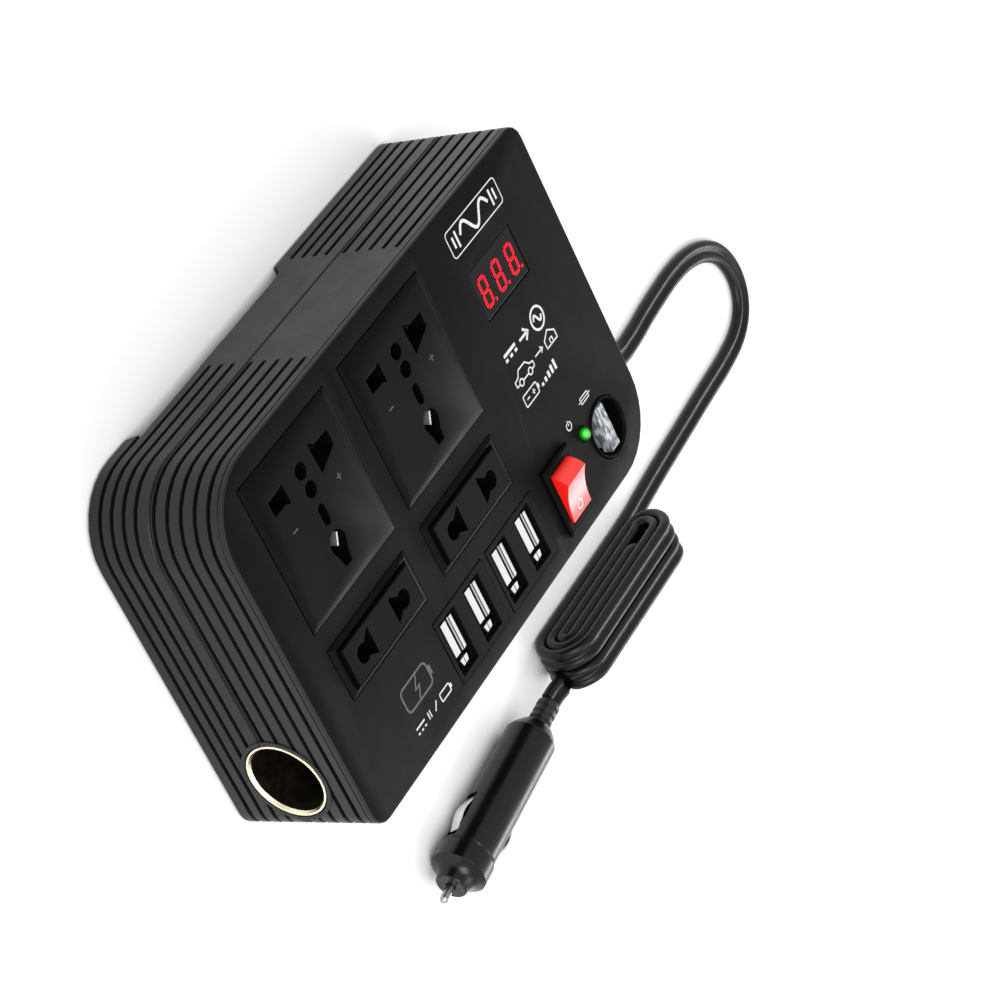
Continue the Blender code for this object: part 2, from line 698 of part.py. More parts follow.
def usb_modules():
    half_x, half_y = USB_HALF
    port_x, port_y = USB_PORT_HALF
    under = CASE_Z - ROOF - GAP
    shell_low, shell_mouth = USB_SHELL
    out_x = port_x - GAP
    out_y = port_y - GAP
    room_x = out_x - USB_SHELL_WALL
    room_y = out_y - USB_SHELL_WALL
    number = 0
    for side, (x, y) in USB.items():
        steps = (
            (half_x - 0.6, half_y - 1.0, shell_low - 1.8),
            (half_x - 0.6, half_y - 1.0, under - 1.6),
            (half_x + 0.8, half_y + 1.0, under - 1.58),
            (half_x + 0.8, half_y + 1.0, under),
            (half_x, half_y, under + 0.02),
            (half_x, half_y, CASE_Z + 0.1),
        )
        bezel = add(f"usb_bezel_{side}", stepped_box((x, y), steps), PANEL_BLACK)
        port_steps = (
            (port_x, port_y, shell_low - GAP),
            (port_x, port_y, CASE_Z - 0.7),
            (port_x + 0.4, port_y + 0.4, CASE_Z + 0.2),
        )
        ports = joined(*[stepped_box((x + dx, y), port_steps) for dx in USB_PORTS])
        shape(bezel, tool(f"ports_{side}", ports))
        for dx in USB_PORTS:
            number += 1
            cx = x + dx
            can = box(cx - out_x, cx + out_x, y - out_y, y + out_y, shell_low, shell_mouth)
            shell = add(f"usb_shell_{number}", can, NICKEL)
            room = prism(rectangle(room_x, room_y, cx, y), shell_low + USB_SHELL_WALL, CASE_Z)
            shape(shell, tool(f"shell_room_{number}", room))
            tongue_low = shell_low + USB_SHELL_WALL + GAP
            tongue = box(cx - room_x + GAP, cx - 0.4, y - 3.4, y + room_y - GAP, tongue_low, CASE_Z - 0.6)
            add(f"usb_tongue_{number}", tongue, WHITE)


def voltage_display():
    half_x, half_y = DISPLAY_HALF
    under = CASE_Z - ROOF - GAP
    flange_low = under - 1.2
    steps = (
        (half_x + 1.2, half_y + 1.2, flange_low),
        (half_x + 1.2, half_y + 1.2, under),
        (half_x, half_y, under + 0.02),
        (half_x, half_y, CASE_Z - 0.35),
        (half_x - 0.3, half_y - 0.3, CASE_Z - 0.1),
    )
    add("display_window", stepped_box(DISPLAY, steps), SMOKE)
    module = stepped_box(DISPLAY, ((half_x, half_y, flange_low - 6.3), (half_x, half_y, flange_low - GAP)))
    add("display_module", module, WHITE)


def power_switch():
    x, y = ROCKER
    body_x, body_y = ROCKER_BODY
    flange_x, flange_y = ROCKER_FLANGE
    steps = (
        (body_x, body_y, 33.5),
        (body_x, body_y, CASE_Z + 0.28),
        (flange_x, flange_y, CASE_Z + GAP),
        (flange_x, flange_y, CASE_Z + 1.1),
        (flange_x - 0.6, flange_y - 0.6, CASE_Z + 1.7),
    )
    frame = add("rocker_frame", stepped_box((x, y), steps), PANEL_BLACK)
    room = prism(rectangle(ROCKER_HALF_X + GAP, ROCKER_R + GAP, x, y), 35.5, CASE_Z + 3.0)
    shape(frame, tool("rocker_room", room))
    pin = prism(circle(TRUNNION_R + GAP, 12), -6.3, 6.3)
    shape(frame, tool("rocker_pin_holes", moved(pin, along_x(x, y, ROCKER_PIVOT_Z))))
    right = arc(ROCKER_R, -35.0, ROCKER_CORNER, 8)
    corner_y, corner_z = right[-1]
    hollow = []
    for step in range(1, 8):
        across = 1.0 - step / 4
        hollow.append((across * corner_y, corner_z - ROCKER_HOLLOW * (1.0 - across**2)))
    outline = right + hollow + [(-px, pz) for px, pz in reversed(right)]
    rings = []
    for offset in (-ROCKER_HALF_X, ROCKER_HALF_X):
        rings.append([(offset, py, pz) for py, pz in outline])
    pivot = at(x, y, ROCKER_PIVOT_Z) @ Matrix.Rotation(math.radians(ROCKER_TILT), 4, "X")
    rocker = add("rocker", moved(loft(rings), pivot), RED, (x, y, ROCKER_PIVOT_Z))
    trunnion = prism(circle(TRUNNION_R, 12), -6.0, 6.0)
    shape(rocker, tool("trunnion", moved(trunnion, along_x(x, y, ROCKER_PIVOT_Z))), "UNION")


def indicator():
    x, y = LED
    foot, crown = LED_DOME
    shoulder = CASE_Z - ROOF - GAP - 1.0
    dome = []
    for px, pz in arc(1.0, 0, 80, 4):
        dome.append((LED_R * px, foot + (crown - foot) * pz))
    profile = [(0.0, 38.0), (3.0, 38.0), (3.0, shoulder), (LED_R, shoulder)] + dome + [(0.0, crown)]
    add("power_led", moved(turned(profile, 16), at(x, y, 0)), GREEN)


def output_fuse():
    x, y = FUSE
    narrow = FUSE_WELL_R - 0.6
    shoulder = CASE_Z - ROOF - 1.2
    profile = [
        (0.0, FUSE_UNDER),
        (narrow, FUSE_UNDER),
        (narrow, shoulder),
        (FUSE_WELL_R, shoulder),
        (FUSE_WELL_R, CASE_Z + 0.2),
        (FUSE_WELL_R - 0.25, CASE_Z + 0.5),
        (FUSE_BORE_R + 0.45, CASE_Z + 0.5),
        (FUSE_BORE_R, CASE_Z - 0.4),
        (FUSE_BORE_R, FUSE_SEAT),
        (0.0, FUSE_SEAT),
    ]
    well = add("fuse_well", moved(turned(profile, 28), at(x, y, 0)), PANEL_BLACK)
    slots = []
    for dy in (-4.0, 4.0):
        slots.append(box(x - 0.7, x + 0.7, y + dy - 2.1, y + dy + 2.1, FUSE_UNDER - 1.0, FUSE_SEAT + 1.0))
    shape(well, tool("blade_slots", joined(*slots)))
    half_x, half_y = FUSE_HALF
    low = FUSE_SEAT + GAP
    waist = low + 5.0
    steps = (
        (half_x - 0.5, half_y - 1.2, low),
        (half_x - 0.5, half_y - 1.2, waist),
        (half_x, half_y, waist + 0.4),
        (half_x, half_y, FUSE_TOP - 0.3),
        (half_x - 0.3, half_y - 0.3, FUSE_TOP),
    )
    body = add("fuse_body", stepped_box((x, y), steps), CLEAR, (x, y, FUSE_SEAT))
    room = box(x - 0.75, x + 0.75, y - 5.5, y + 5.5, low - 1.0, FUSE_TOP - 0.7)
    shape(body, tool("fuse_room", room))
    top = FUSE_TOP - 1.0
    tip = FUSE_UNDER + 0.8
    half_blade = [(1.2, top - 0.8), (2.6, top), (5.2, top), (5.2, tip), (2.8, tip)]
    half_blade += [(2.8, top - 3.0), (1.2, top - 1.4)]
    blade = half_blade + [(-py, pz) for py, pz in reversed(half_blade)]
    rings = [[(x + side, y + py, pz) for py, pz in blade] for side in (-0.4, 0.4)]
    add("fuse_element", loft(rings), STEEL, (x, y, FUSE_SEAT))


# ---------------------------------------------------------------- lighter outlet and lead


def lighter_outlet():
    """A brass cup with a flared lip, an insulating ring at its bottom and a centre contact."""
    front = -CASE_X / 2 - PAD_PROUD
    place = along_x(front, *LIGHTER)
    depth = LIGHTER_BACK - front
    base = depth - LIGHTER_WALL
    cup = [
        (LIGHTER_BORE + LIGHTER_LIP, 0.0),
        (LIGHTER_OUTER - 0.15, 0.0),
        (LIGHTER_OUTER, 0.3),
        (LIGHTER_OUTER, depth),
        (3.2, depth),
        (3.2, base),
        (LIGHTER_BORE, base),
        (LIGHTER_BORE, 2 * LIGHTER_LIP),
    ]
    add("lighter_liner", moved(turned(cup, 32), place), BRASS)
    back = base - GAP
    insulator = [
        (2.9, back),
        (LIGHTER_BORE - GAP, back),
        (LIGHTER_BORE - GAP, back - 1.6),
        (6.0, back - 2.6),
        (2.9, back - 2.6),
    ]
    add("lighter_insulator", moved(turned(insulator, 20), place), PANEL_BLACK)
    contact = [
        (0.0, back - 4.2),
        (2.0, back - 4.2),
        (4.2, back - 3.6),
        (4.2, back - 2.9),
        (2.5, back - 2.9),
        (2.5, depth + 4.0),
        (0.0, depth + 4.0),
    ]
    add("lighter_contact", moved(turned(contact, 14), place), BRASS)


def lead_gland():
    wall_in = CASE_X / 2 - WALL - GAP
    face = CASE_X / 2 + PAD_PROUD + GAP
    profile = [
        (0.0, wall_in - 2.0),
        (6.2, wall_in - 2.0),
        (6.2, wall_in),
        (EXIT_HOLE - GAP, wall_in),
        (EXIT_HOLE - GAP, face),
        (6.6, face),
        (6.6, face + 1.6),
        (5.2, face + 2.4),
    ]
    for ring in range(3):
        start = face + 3.2 + 3.4 * ring
        radius = 4.9 - 0.35 * ring
        profile += [(radius, start), (radius, start + 2.0)]
        profile += [(radius - 0.8, start + 2.3), (radius - 0.8, start + 3.1)]
    profile += [(3.1, GLAND_END), (0.0, GLAND_END)]
    add("cord_gland", moved(turned(profile, 14), along_x(0.0, *EXIT)), BLACK_ABS)


def smooth_route(points, spacing):
    """Evenly spaced points on a Catmull-Rom curve through the route's own points."""
    knots = [Vector(p) for p in points]
    knots = [2 * knots[0] - knots[1]] + knots + [2 * knots[-1] - knots[-2]]
    fine = []
    for a, b, c, d in zip(knots, knots[1:], knots[2:], knots[3:]):
        for i in range(24):
            t = i / 24
            square = (2 * a - 5 * b + 4 * c - d) * t**2
            cube = (3 * b - a - 3 * c + d) * t**3
            fine.append(0.5 * (2 * b + (c - a) * t + square + cube))
    fine.append(knots[-2])
    lengths = [0.0]
    for a, b in zip(fine, fine[1:]):
        lengths.append(lengths[-1] + (b - a).length)
    count = max(2, round(lengths[-1] / spacing))
    even = []
    place = 0
    for i in range(count + 1):
        target = lengths[-1] * i / count
        while place < len(lengths) - 2 and lengths[place + 1] < target:
            place += 1
        share = (target - lengths[place]) / (lengths[place + 1] - lengths[place])
        even.append(fine[place].lerp(fine[place + 1], share))
    return even


def flex_tube(name, route, spacing):
    curve = bpy.data.curves.new(name, "CURVE")
    curve.dimensions = "3D"
    curve.bevel_depth = FLEX_R * MM
    curve.bevel_resolution = 2
    curve.use_fill_caps = True
    curve.materials.append(material(FLEX_PVC))
    points = smooth_route(route, spacing)
    spline = curve.splines.new("POLY")
    spline.points.add(len(points) - 1)
    for target, point in zip(spline.points, points):
        target.co = (*(point * MM), 1.0)
    piece = bpy.data.objects.new(name, curve)
    bpy.context.collection.objects.link(piece)


def supply_lead():
    flex_tube("cord_lead", LEAD_ROUTE, LEAD_STEP)
    flex_tube("cord_tail", TAIL_ROUTE, TAIL_STEP)
    x0, x1 = HANK_X
    outline = arc(HANK_R, -90, 90, 12, x1 - HANK_R, HANK_R) + arc(HANK_R, 90, 270, 12, x0 + HANK_R, HANK_R)
    add("cord_hank", loft([[(px, py, pz) for px, pz in outline] for py in HANK_Y]), FLEX_PVC)


# ---------------------------------------------------------------- plug


def plug_place():
    """Local Z runs from the plug's rear to its tip; the spring leaves stand on local X, rolled off level."""
    yaw = Matrix.Rotation(math.radians(PLUG_YAW), 4, "Z")
    lay = Matrix(((0, 0, 1, 0), (1, 0, 0, 0), (0, 1, 0, 0), (0, 0, 0, 1)))
    roll = Matrix.Rotation(math.radians(PLUG_ROLL), 4, "Z")
    return Matrix.Translation(PLUG_REAR) @ yaw @ lay @ roll


def side_boxes(inner, outer, half, z0, z1):
    """A pair of boxes either side of the plug's axis."""
    boxes = []
    for side in (1, -1):
        x0, x1 = sorted((side * inner, side * outer))
        boxes.append(box(x0, x1, -half, half, z0, z1))
    return joined(*boxes)


def plug_relief(place):
    profile = [(0.0, RELIEF_END), (RELIEF_R - 0.5, RELIEF_END)]
    for ring in range(3):
        start = RELIEF_END + 0.6 + 2.6 * ring
        profile += [(RELIEF_R, start), (RELIEF_R, start + 1.4)]
        profile += [(RELIEF_R - 0.5, start + 1.7), (RELIEF_R - 0.5, start + 2.2)]
    profile += [(3.7, -1.4), (3.7, 2.0), (4.9, 2.2), (4.9, 3.6), (0.0, 3.6)]
    add("plug_strain_relief", moved(turned(profile, 14), place), BLACK_ABS)


def plug_body(place):
    profile = [
        (4.0, 0.0),
        (5.2, 0.0),
        (6.9, 2.4),
        (PLUG_R, 4.4),
        (PLUG_R, PLUG_BODY_END - 0.6),
        (PLUG_R - 0.3, PLUG_BODY_END),
        (PLUG_BORE, PLUG_BODY_END),
        (PLUG_BORE, 3.9),
        (5.2, 3.9),
        (5.2, 1.7),
        (4.0, 1.7),
    ]
    body = add("plug_body", moved(turned(profile, 28), place), BLACK_ABS)
    half = SPRING_HALF + 0.4
    windows = side_boxes(PLUG_BORE - 2.0, PLUG_R + 2.0, half, WINDOW_START, PLUG_BODY_END - 1.0)
    shape(body, tool("spring_windows", moved(windows, place)))


def plug_nose(place):
    start = PLUG_BODY_END - 4.0
    spigot = PLUG_BORE - GAP
    bore = TIP_R + GAP
    profile = [
        (bore, start),
        (spigot, start),
        (spigot, PLUG_BODY_END + GAP),
        (PLUG_RING_R - 0.5, PLUG_BODY_END + GAP),
        (PLUG_RING_R, PLUG_BODY_END + 0.8),
        (PLUG_RING_R, PLUG_RING_END - 0.3),
        (PLUG_RING_R - 0.4, PLUG_RING_END),
        (6.8, PLUG_RING_END + 0.7),
        (5.7, PLUG_RING_END + 1.8),
        (5.1, PLUG_RING_END + 3.2),
        (4.8, PLUG_NOSE_END - 0.3),
        (4.5, PLUG_NOSE_END),
        (bore, PLUG_NOSE_END),
    ]
    nose = add("plug_nose", moved(turned(profile, 28), place), BLACK_ABS)
    ways = side_boxes(4.4, PLUG_RING_R, SPRING_HALF + 0.4, start - 1.0, PLUG_BODY_END)
    shape(nose, tool("nose_ways", moved(ways, place)))
    flange = start - GAP
    tip = [
        (0.0, start - 4.0),
        (TIP_FLANGE_R, start - 4.0),
        (TIP_FLANGE_R, flange),
        (TIP_R, flange),
        (TIP_R, PLUG_TIP_END - 1.0),
        (0.8, PLUG_TIP_END - 0.2),
        (0.0, PLUG_TIP_END),
    ]
    add("plug_tip", moved(turned(tip, 16), place), NICKEL, place @ Vector((0, 0, PLUG_NOSE_END)))


def plug_springs(place):
    """Bowed spring leaves, each held at its front end."""
    start, end = SPRING_SPAN
    foot = PLUG_R - 1.3
    leaf = []
    for step in range(9):
        share = step / 8
        bow = SPRING_RISE * math.sin(math.pi * share) ** 1.2 * (1 - 0.25 * share)
        leaf.append((foot + bow, start + (end - start) * share))
    outline = [(r + SPRING_THICK, z) for r, z in leaf] + [(r, z) for r, z in reversed(leaf)]
    for side, name in ((1, "left"), (-1, "right")):
        rings = [[(side * r, half, z) for r, z in outline] for half in (-SPRING_HALF, SPRING_HALF)]
        pivot = place @ Vector((side * (foot + 0.2), 0, end))
        add(f"plug_spring_{name}", moved(loft(rings), place), NICKEL, pivot)


def lighter_plug():
    place = plug_place()
    plug_relief(place)
    plug_body(place)
    plug_nose(place)
    plug_springs(place)


# ---------------------------------------------------------------- electronics


def electronics():
    board = add("main_board", box(*BOARD, BOARD_LOW, BOARD_LOW + BOARD_THICK), BOARD_GREEN)
    corner = box(50.0, 72.0, -49.0, -40.0, BOARD_LOW - 1.0, BOARD_LOW + 2.5)
    shape(board, tool("board_corner", corner))
    x0, x1, y0, y1, z0, z1 = CORE
    middle = (x0 + x1) / 2
    core = add("transformer_core", box(*CORE), FERRITE)
    windows = (
        box(x0 + 5.0, middle - CORE_LEG, y0 - 1.0, y1 + 1.0, z0 + 4.0, z1 - 4.0),
        box(middle + CORE_LEG, x1 - 5.0, y0 - 1.0, y1 + 1.0, z0 + 4.0, z1 - 4.0),
    )
    shape(core, tool("core_windows", joined(*windows)))
    coil = prism(rectangle(10.3, y1 + 4.5, middle, 0.0), z0 + 4.4, z1 - 4.4)
    winding = add("transformer_winding", coil, COPPER)
    leg = prism(rectangle(CORE_LEG + GAP, y1 + GAP, middle, 0.0), z0 - 2.0, z1 + 2.0)
    shape(winding, tool("winding_leg", leg))
    fins = [(HEATSINK_RIGHT, HEATSINK_LOW)]
    for fin in range(FIN_COUNT):
        x = HEATSINK_RIGHT - fin * FIN_PITCH
        fins += [(x, HEATSINK_TOP), (x - FIN_THICK, HEATSINK_TOP)]
        if fin < FIN_COUNT - 1:
            fins += [(x - FIN_THICK, HEATSINK_BASE), (x - FIN_PITCH, HEATSINK_BASE)]
    fins.append((fins[-1][0], HEATSINK_LOW))
    add("heatsink", loft([[(px, py, pz) for px, pz in fins] for py in HEATSINK_Y]), ALUMINIUM)
    low, high = CAPACITOR_Z
    can = [(0.0, low), (CAPACITOR_R - 0.4, low), (CAPACITOR_R, low + 0.5), (CAPACITOR_R, high - 0.6)]
    can += [(CAPACITOR_R - 0.4, high), (0.0, high)]
    add("capacitor", moved(turned(can, 24), at(*CAPACITOR, 0)), SLEEVE)


def cooling_fan():
    x, z = FAN
    y0, y1 = FAN_Y
    place = along_y(x, y0, z)
    frame_box = box(x - FAN_HALF, x + FAN_HALF, y0, y1, z - FAN_HALF, z + FAN_HALF)
    frame = add("fan_frame", frame_box, PANEL_BLACK)
    shape(frame, tool("fan_bore", moved(prism(circle(FAN_BORE, 28), -1.0, 9.0), place)))
    ways = []
    for turn in range(3):
        start = 120.0 * turn + 8.0
        outline = arc(FAN_BORE - 0.6, start, start + 104.0, 9)
        outline += arc(FAN_HUB + 0.8, start + 100.0, start + 4.0, 5)
        ways.append(moved(prism(outline, 7.0, 12.0), place))
    shape(frame, tool("fan_ways", joined(*ways)))
    hub = prism(circle(FAN_HUB, 20), 0.8, 7.4)
    rotor = add("fan_rotor", moved(hub, place), BLACK_ABS, (x, y0 + 4.0, z))
    blades = []
    for turn in range(FAN_BLADES):
        angle = math.tau * turn / FAN_BLADES
        rings = []
        for radius in (FAN_HUB - 0.8, FAN_BORE - 0.8):
            width = 1.8 + 0.16 * radius
            ring = []
            for along, height in ((-width, 1.4), (width, 5.6), (width, 6.5), (-width, 2.3)):
                swing = angle + along / max(radius, 7.0)
                ring.append((radius * math.cos(swing), radius * math.sin(swing), height))
            rings.append(ring)
        blades.append(loft(rings))
    shape(rotor, tool("blades", moved(joined(*blades), place)), "UNION")


def main():
    for old in list(bpy.data.objects):
        bpy.data.objects.remove(old, do_unlink=True)
    casing_top()
    casing_bottom()
    case_screws()
    universal_sockets()
    two_pin_sockets()
    usb_modules()
    voltage_display()
    power_switch()
    indicator()
    output_fuse()
    lighter_outlet()
    lead_gland()
    supply_lead()
    lighter_plug()
    electronics()
    cooling_fan()


main()
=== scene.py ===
"""Looks of the power inverter: its finishes, the twin supply lead, the printed marks and the lit parts.

Lengths are millimetres, and MM turns them into metres.
+X runs along the panel, +Y up the panel and +Z out of it.
"""
import math

import bmesh
import bpy
from mathutils import Matrix, Vector


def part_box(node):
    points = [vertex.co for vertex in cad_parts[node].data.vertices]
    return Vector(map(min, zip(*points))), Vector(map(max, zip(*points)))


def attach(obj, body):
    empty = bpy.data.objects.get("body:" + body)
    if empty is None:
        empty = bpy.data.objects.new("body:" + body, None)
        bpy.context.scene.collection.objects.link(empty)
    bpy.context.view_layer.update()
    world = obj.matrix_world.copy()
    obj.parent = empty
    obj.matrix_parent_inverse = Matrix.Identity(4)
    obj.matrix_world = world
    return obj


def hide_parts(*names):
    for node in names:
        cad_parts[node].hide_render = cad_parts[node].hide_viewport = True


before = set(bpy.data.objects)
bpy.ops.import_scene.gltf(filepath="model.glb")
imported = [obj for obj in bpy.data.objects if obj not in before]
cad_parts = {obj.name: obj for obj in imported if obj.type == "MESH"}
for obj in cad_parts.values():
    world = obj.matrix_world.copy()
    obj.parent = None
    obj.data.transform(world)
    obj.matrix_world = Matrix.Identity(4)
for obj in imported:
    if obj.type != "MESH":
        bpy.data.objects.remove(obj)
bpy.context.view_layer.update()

MM = 0.001
PANEL_TOP = 45.0
LOBE_R = 1.68
LOBE_OUT = 1.95
LOBE_STEPS = 14
WEB_ANGLE = 26  # degrees round each core at which the web leaves it
FLOOR_HEIGHT = 1.7


# ---------------------------------------------------------------- camera

CAMERA_PLACE = (-0.5813, 0.4108, 0.5824)
CAMERA_HEADING = (0.652, -0.4751, -0.5911)
CAMERA_ROLL = 86.9
CAMERA_LENS = 121.4


def make_camera():
    data = bpy.data.cameras.new("camera")
    data.lens = CAMERA_LENS
    data.sensor_width = 36.0
    data.clip_start = 0.01
    data.clip_end = 20.0
    camera = bpy.data.objects.new("camera", data)
    aim = Vector(CAMERA_HEADING).to_track_quat("-Z", "Y").to_matrix().to_4x4()
    roll = Matrix.Rotation(math.radians(CAMERA_ROLL), 4, "Z")
    camera.matrix_world = Matrix.Translation(CAMERA_PLACE) @ aim @ roll
    bpy.context.scene.collection.objects.link(camera)
    bpy.context.scene.camera = camera


# ---------------------------------------------------------------- mesh helpers


def piece(name, bm, body, finish, sharp=35.0):
    """A shown piece from a mesh in millimetres, riding on a body."""
    bmesh.ops.recalc_face_normals(bm, faces=bm.faces)
    bmesh.ops.scale(bm, vec=(MM, MM, MM), verts=bm.verts)
    mesh = bpy.data.meshes.new(name)
    bm.to_mesh(mesh)
    bm.free()
    mesh.shade_smooth()
    mesh.set_sharp_from_angle(angle=math.radians(sharp))
    mesh.materials.append(finish)
    made = bpy.data.objects.new(name, mesh)
    bpy.context.scene.collection.objects.link(made)
    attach(made, body)
    return made


def loft(bm, rings):
    """A closed body through rings that all have the same number of corners."""
    loops = [[bm.verts.new(p) for p in ring] for ring in rings]
    count = len(loops[0])
    for low, high in zip(loops, loops[1:]):
        for i in range(count):
            j = (i + 1) % count
            bm.faces.new((low[i], low[j], high[j], high[i]))
    bm.faces.new(loops[0][::-1])
    bm.faces.new(loops[-1])


def slab(bm, outline, z0, z1):
    loft(bm, [[(x, y, z) for x, y in outline] for z in (z0, z1)])


def arc(radius, start, end, steps, x=0.0, y=0.0):
    points = []
    for i in range(steps + 1):
        angle = math.radians(start + (end - start) * i / steps)
        points.append((x + radius * math.cos(angle), y + radius * math.sin(angle)))
    return points


def stroke(bm, points, width, z0, z1, closed=False):
    """A flat ribbon of one width along a line of (x, y) points."""
    line = [Vector(p) for p in points]
    count = len(line)
    left, right = [], []
    for i, here in enumerate(line):
        before = line[i - 1] if closed or i else here
        after = line[(i + 1) % count] if closed or i < count - 1 else here
        ahead = (after - here).normalized() if after != here else (here - before).normalized()
        behind = (here - before).normalized() if here != before else ahead
        mean = (ahead + behind).normalized()
        side = Vector((-mean.y, mean.x))
        reach = width / 2 / max(0.5, mean.dot(ahead))
        left.append(here + side * reach)
        right.append(here - side * reach)
    rings = [[(a.x, a.y, z0), (b.x, b.y, z0), (b.x, b.y, z1), (a.x, a.y, z1)] for a, b in zip(left, right)]
    if not closed:
        loft(bm, rings)
        return
    loops = [[bm.verts.new(p) for p in ring] for ring in rings]
    for low, high in zip(loops, loops[1:] + loops[:1]):
        for i in range(4):
            j = (i + 1) % 4
            bm.faces.new((low[i], low[j], high[j], high[i]))


# ---------------------------------------------------------------- finishes


class Finish:
    """A Principled material in object coordinates, built up by small calls; sizes are in millimetres."""

    def __init__(self, name, colour, roughness, metallic=0.0, **constants):
        self.made = bpy.data.materials.new(name)
        self.made.use_nodes = True
        self.tree = self.made.node_tree
        self.shader = self.tree.nodes["Principled BSDF"]
        self.place = self.tree.nodes.new("ShaderNodeTexCoord").outputs["Object"]
        self.normal = None
        self.set("Base Color", (*colour, 1.0))
        self.set("Roughness", roughness)
        self.set("Metallic", metallic)
        for socket, value in constants.items():
            self.set(socket.replace("_", " "), value)

    def set(self, socket, value):
        self.shader.inputs[socket].default_value = value

    def link(self, source, target):
        self.tree.links.new(source, target)

    def stretched(self, stretch):
        mapping = self.tree.nodes.new("ShaderNodeMapping")
        mapping.inputs["Scale"].default_value = stretch
        self.link(self.place, mapping.inputs["Vector"])
        return mapping.outputs["Vector"]

    def noise(self, size, detail=3.0, stretch=(1, 1, 1), offset=0.0):
        """Cloudy noise from 0 to 1, whose patches are about size across."""
        node = self.tree.nodes.new("ShaderNodeTexNoise")
        node.noise_dimensions = "4D"
        node.inputs["W"].default_value = offset
        node.inputs["Scale"].default_value = 1 / (size * MM)
        node.inputs["Detail"].default_value = detail
        self.link(self.stretched(stretch), node.inputs["Vector"])
        return node.outputs["Fac"]

    def cells(self, size, feature="F1"):
        node = self.tree.nodes.new("ShaderNodeTexVoronoi")
        node.feature = feature
        node.inputs["Scale"].default_value = 1 / (size * MM)
        self.link(self.place, node.inputs["Vector"])
        return node.outputs["Distance"]

    def wave(self, size, direction, distortion=0.0):
        node = self.tree.nodes.new("ShaderNodeTexWave")
        node.bands_direction = direction
        node.inputs["Scale"].default_value = 0.314 / (size * MM)
        node.inputs["Distortion"].default_value = distortion
        self.link(self.place, node.inputs["Vector"])
        return node.outputs["Fac"]

    def ramp(self, value, low, high, start=0.3, end=0.7):
        """Turns a value that runs from start to end into one from low to high."""
        node = self.tree.nodes.new("ShaderNodeMapRange")
        node.inputs["From Min"].default_value = start
        node.inputs["From Max"].default_value = end
        node.inputs["To Min"].default_value = low
        node.inputs["To Max"].default_value = high
        self.link(value, node.inputs["Value"])
        return node.outputs["Result"]

    def colours(self, value, dark, light):
        node = self.tree.nodes.new("ShaderNodeMix")
        node.data_type = "RGBA"
        node.inputs["A"].default_value = (*dark, 1.0)
        node.inputs["B"].default_value = (*light, 1.0)
        self.link(value, node.inputs["Factor"])
        self.link(node.outputs["Result"], self.shader.inputs["Base Color"])

    def drive(self, socket, value):
        self.link(value, self.shader.inputs[socket])

    def rounded(self, radius):
        """Softens the light on sharp edges."""
        node = self.tree.nodes.new("ShaderNodeBevel")
        node.samples = 4
        node.inputs["Radius"].default_value = radius * MM
        self.normal = node.outputs["Normal"]
        self.link(self.normal, self.shader.inputs["Normal"])

    def bump(self, height, depth):
        node = self.tree.nodes.new("ShaderNodeBump")
        node.inputs["Distance"].default_value = depth * MM
        self.link(height, node.inputs["Height"])
        if self.normal:
            self.link(self.normal, node.inputs["Normal"])
        self.normal = node.outputs["Normal"]
        self.link(self.normal, self.shader.inputs["Normal"])


def moulded(name, dark, light, roughness, grain, depth, edge=0.25, **constants):
    """Injection-moulded plastic: spark-eroded grain, faint flow clouds and handling marks."""
    finish = Finish(name, light, roughness, **constants)
    finish.rounded(edge)
    cloud = finish.noise(14.0, 4.0)
    finish.colours(finish.ramp(cloud, 0.0, 1.0), dark, light)
    smear = finish.noise(7.0, 6.0, (1.0, 0.5, 1.0), 3.0)
    finish.drive("Roughness", finish.ramp(smear, roughness - 0.05, roughness + 0.07))
    finish.bump(finish.cells(grain), depth)
    finish.bump(finish.noise(grain * 0.6, 2.0), depth * 0.7)
    return finish.made


def metal(name, dark, light, roughness, stretch, edge=0.1, depth=0.004):
    """Bright metal with fine drawing lines along one direction, small scratches and dull patches."""
    finish = Finish(name, light, roughness, 1.0)
    finish.rounded(edge)
    patch = finish.noise(3.0, 5.0)
    finish.colours(finish.ramp(patch, 0.0, 1.0), dark, light)
    lines = finish.noise(0.5, 3.0, stretch)
    finish.drive("Roughness", finish.ramp(lines, roughness - 0.07, roughness + 0.1))
    finish.bump(lines, depth)
    return finish.made


def casing_finishes():
    side = moulded("case_black", (0.0036, 0.0036, 0.0045), (0.0054, 0.0054, 0.0064), 0.4, 0.35, 0.012, 0.3,
                   Specular_IOR_Level=0.3)
    panel = moulded("panel_black", (0.0035, 0.0035, 0.0035), (0.0048, 0.0048, 0.0048), 0.55, 0.3, 0.01, 0.3,
                    Specular_IOR_Level=0.06)
    return side, panel


def socket_finish():
    return moulded("socket_black", (0.002, 0.002, 0.002), (0.003, 0.003, 0.003), 0.4, 0.5, 0.006, 0.2,
                   Specular_IOR_Level=0.05)


def plug_finish():
    return moulded("plug_black", (0.0012, 0.0012, 0.0012), (0.002, 0.002, 0.002), 0.24, 0.6, 0.004, 0.2,
                   Specular_IOR_Level=0.35)


def boot_finish():
    return moulded("boot_black", (0.004, 0.004, 0.004), (0.007, 0.007, 0.007), 0.4, 0.4, 0.01, 0.25)


# Nickel painted near black: painted shade for the inside of the USB ports, put on the whole shell.
def port_shade_metal():
    return metal("nickel_painted_shade", (0.012, 0.012, 0.012), (0.03, 0.03, 0.03), 0.35, (1.0, 1.0, 0.15))


def bore_shade_metal():
    """The inside of the lighter cup, dulled, and painted dark as painted shade inside the cup."""
    return metal("brass_painted_shade", (0.05, 0.042, 0.03), (0.13, 0.105, 0.07), 0.4, (0.15, 1.0, 1.0))


# Brass lightened towards white-gold: a painted highlight on the lighter cup's lip.
def lip_highlight_metal():
    return metal("brass_lip_painted_highlight", (0.86, 0.74, 0.5), (0.98, 0.92, 0.74), 0.3, (1.0, 0.3, 0.3))


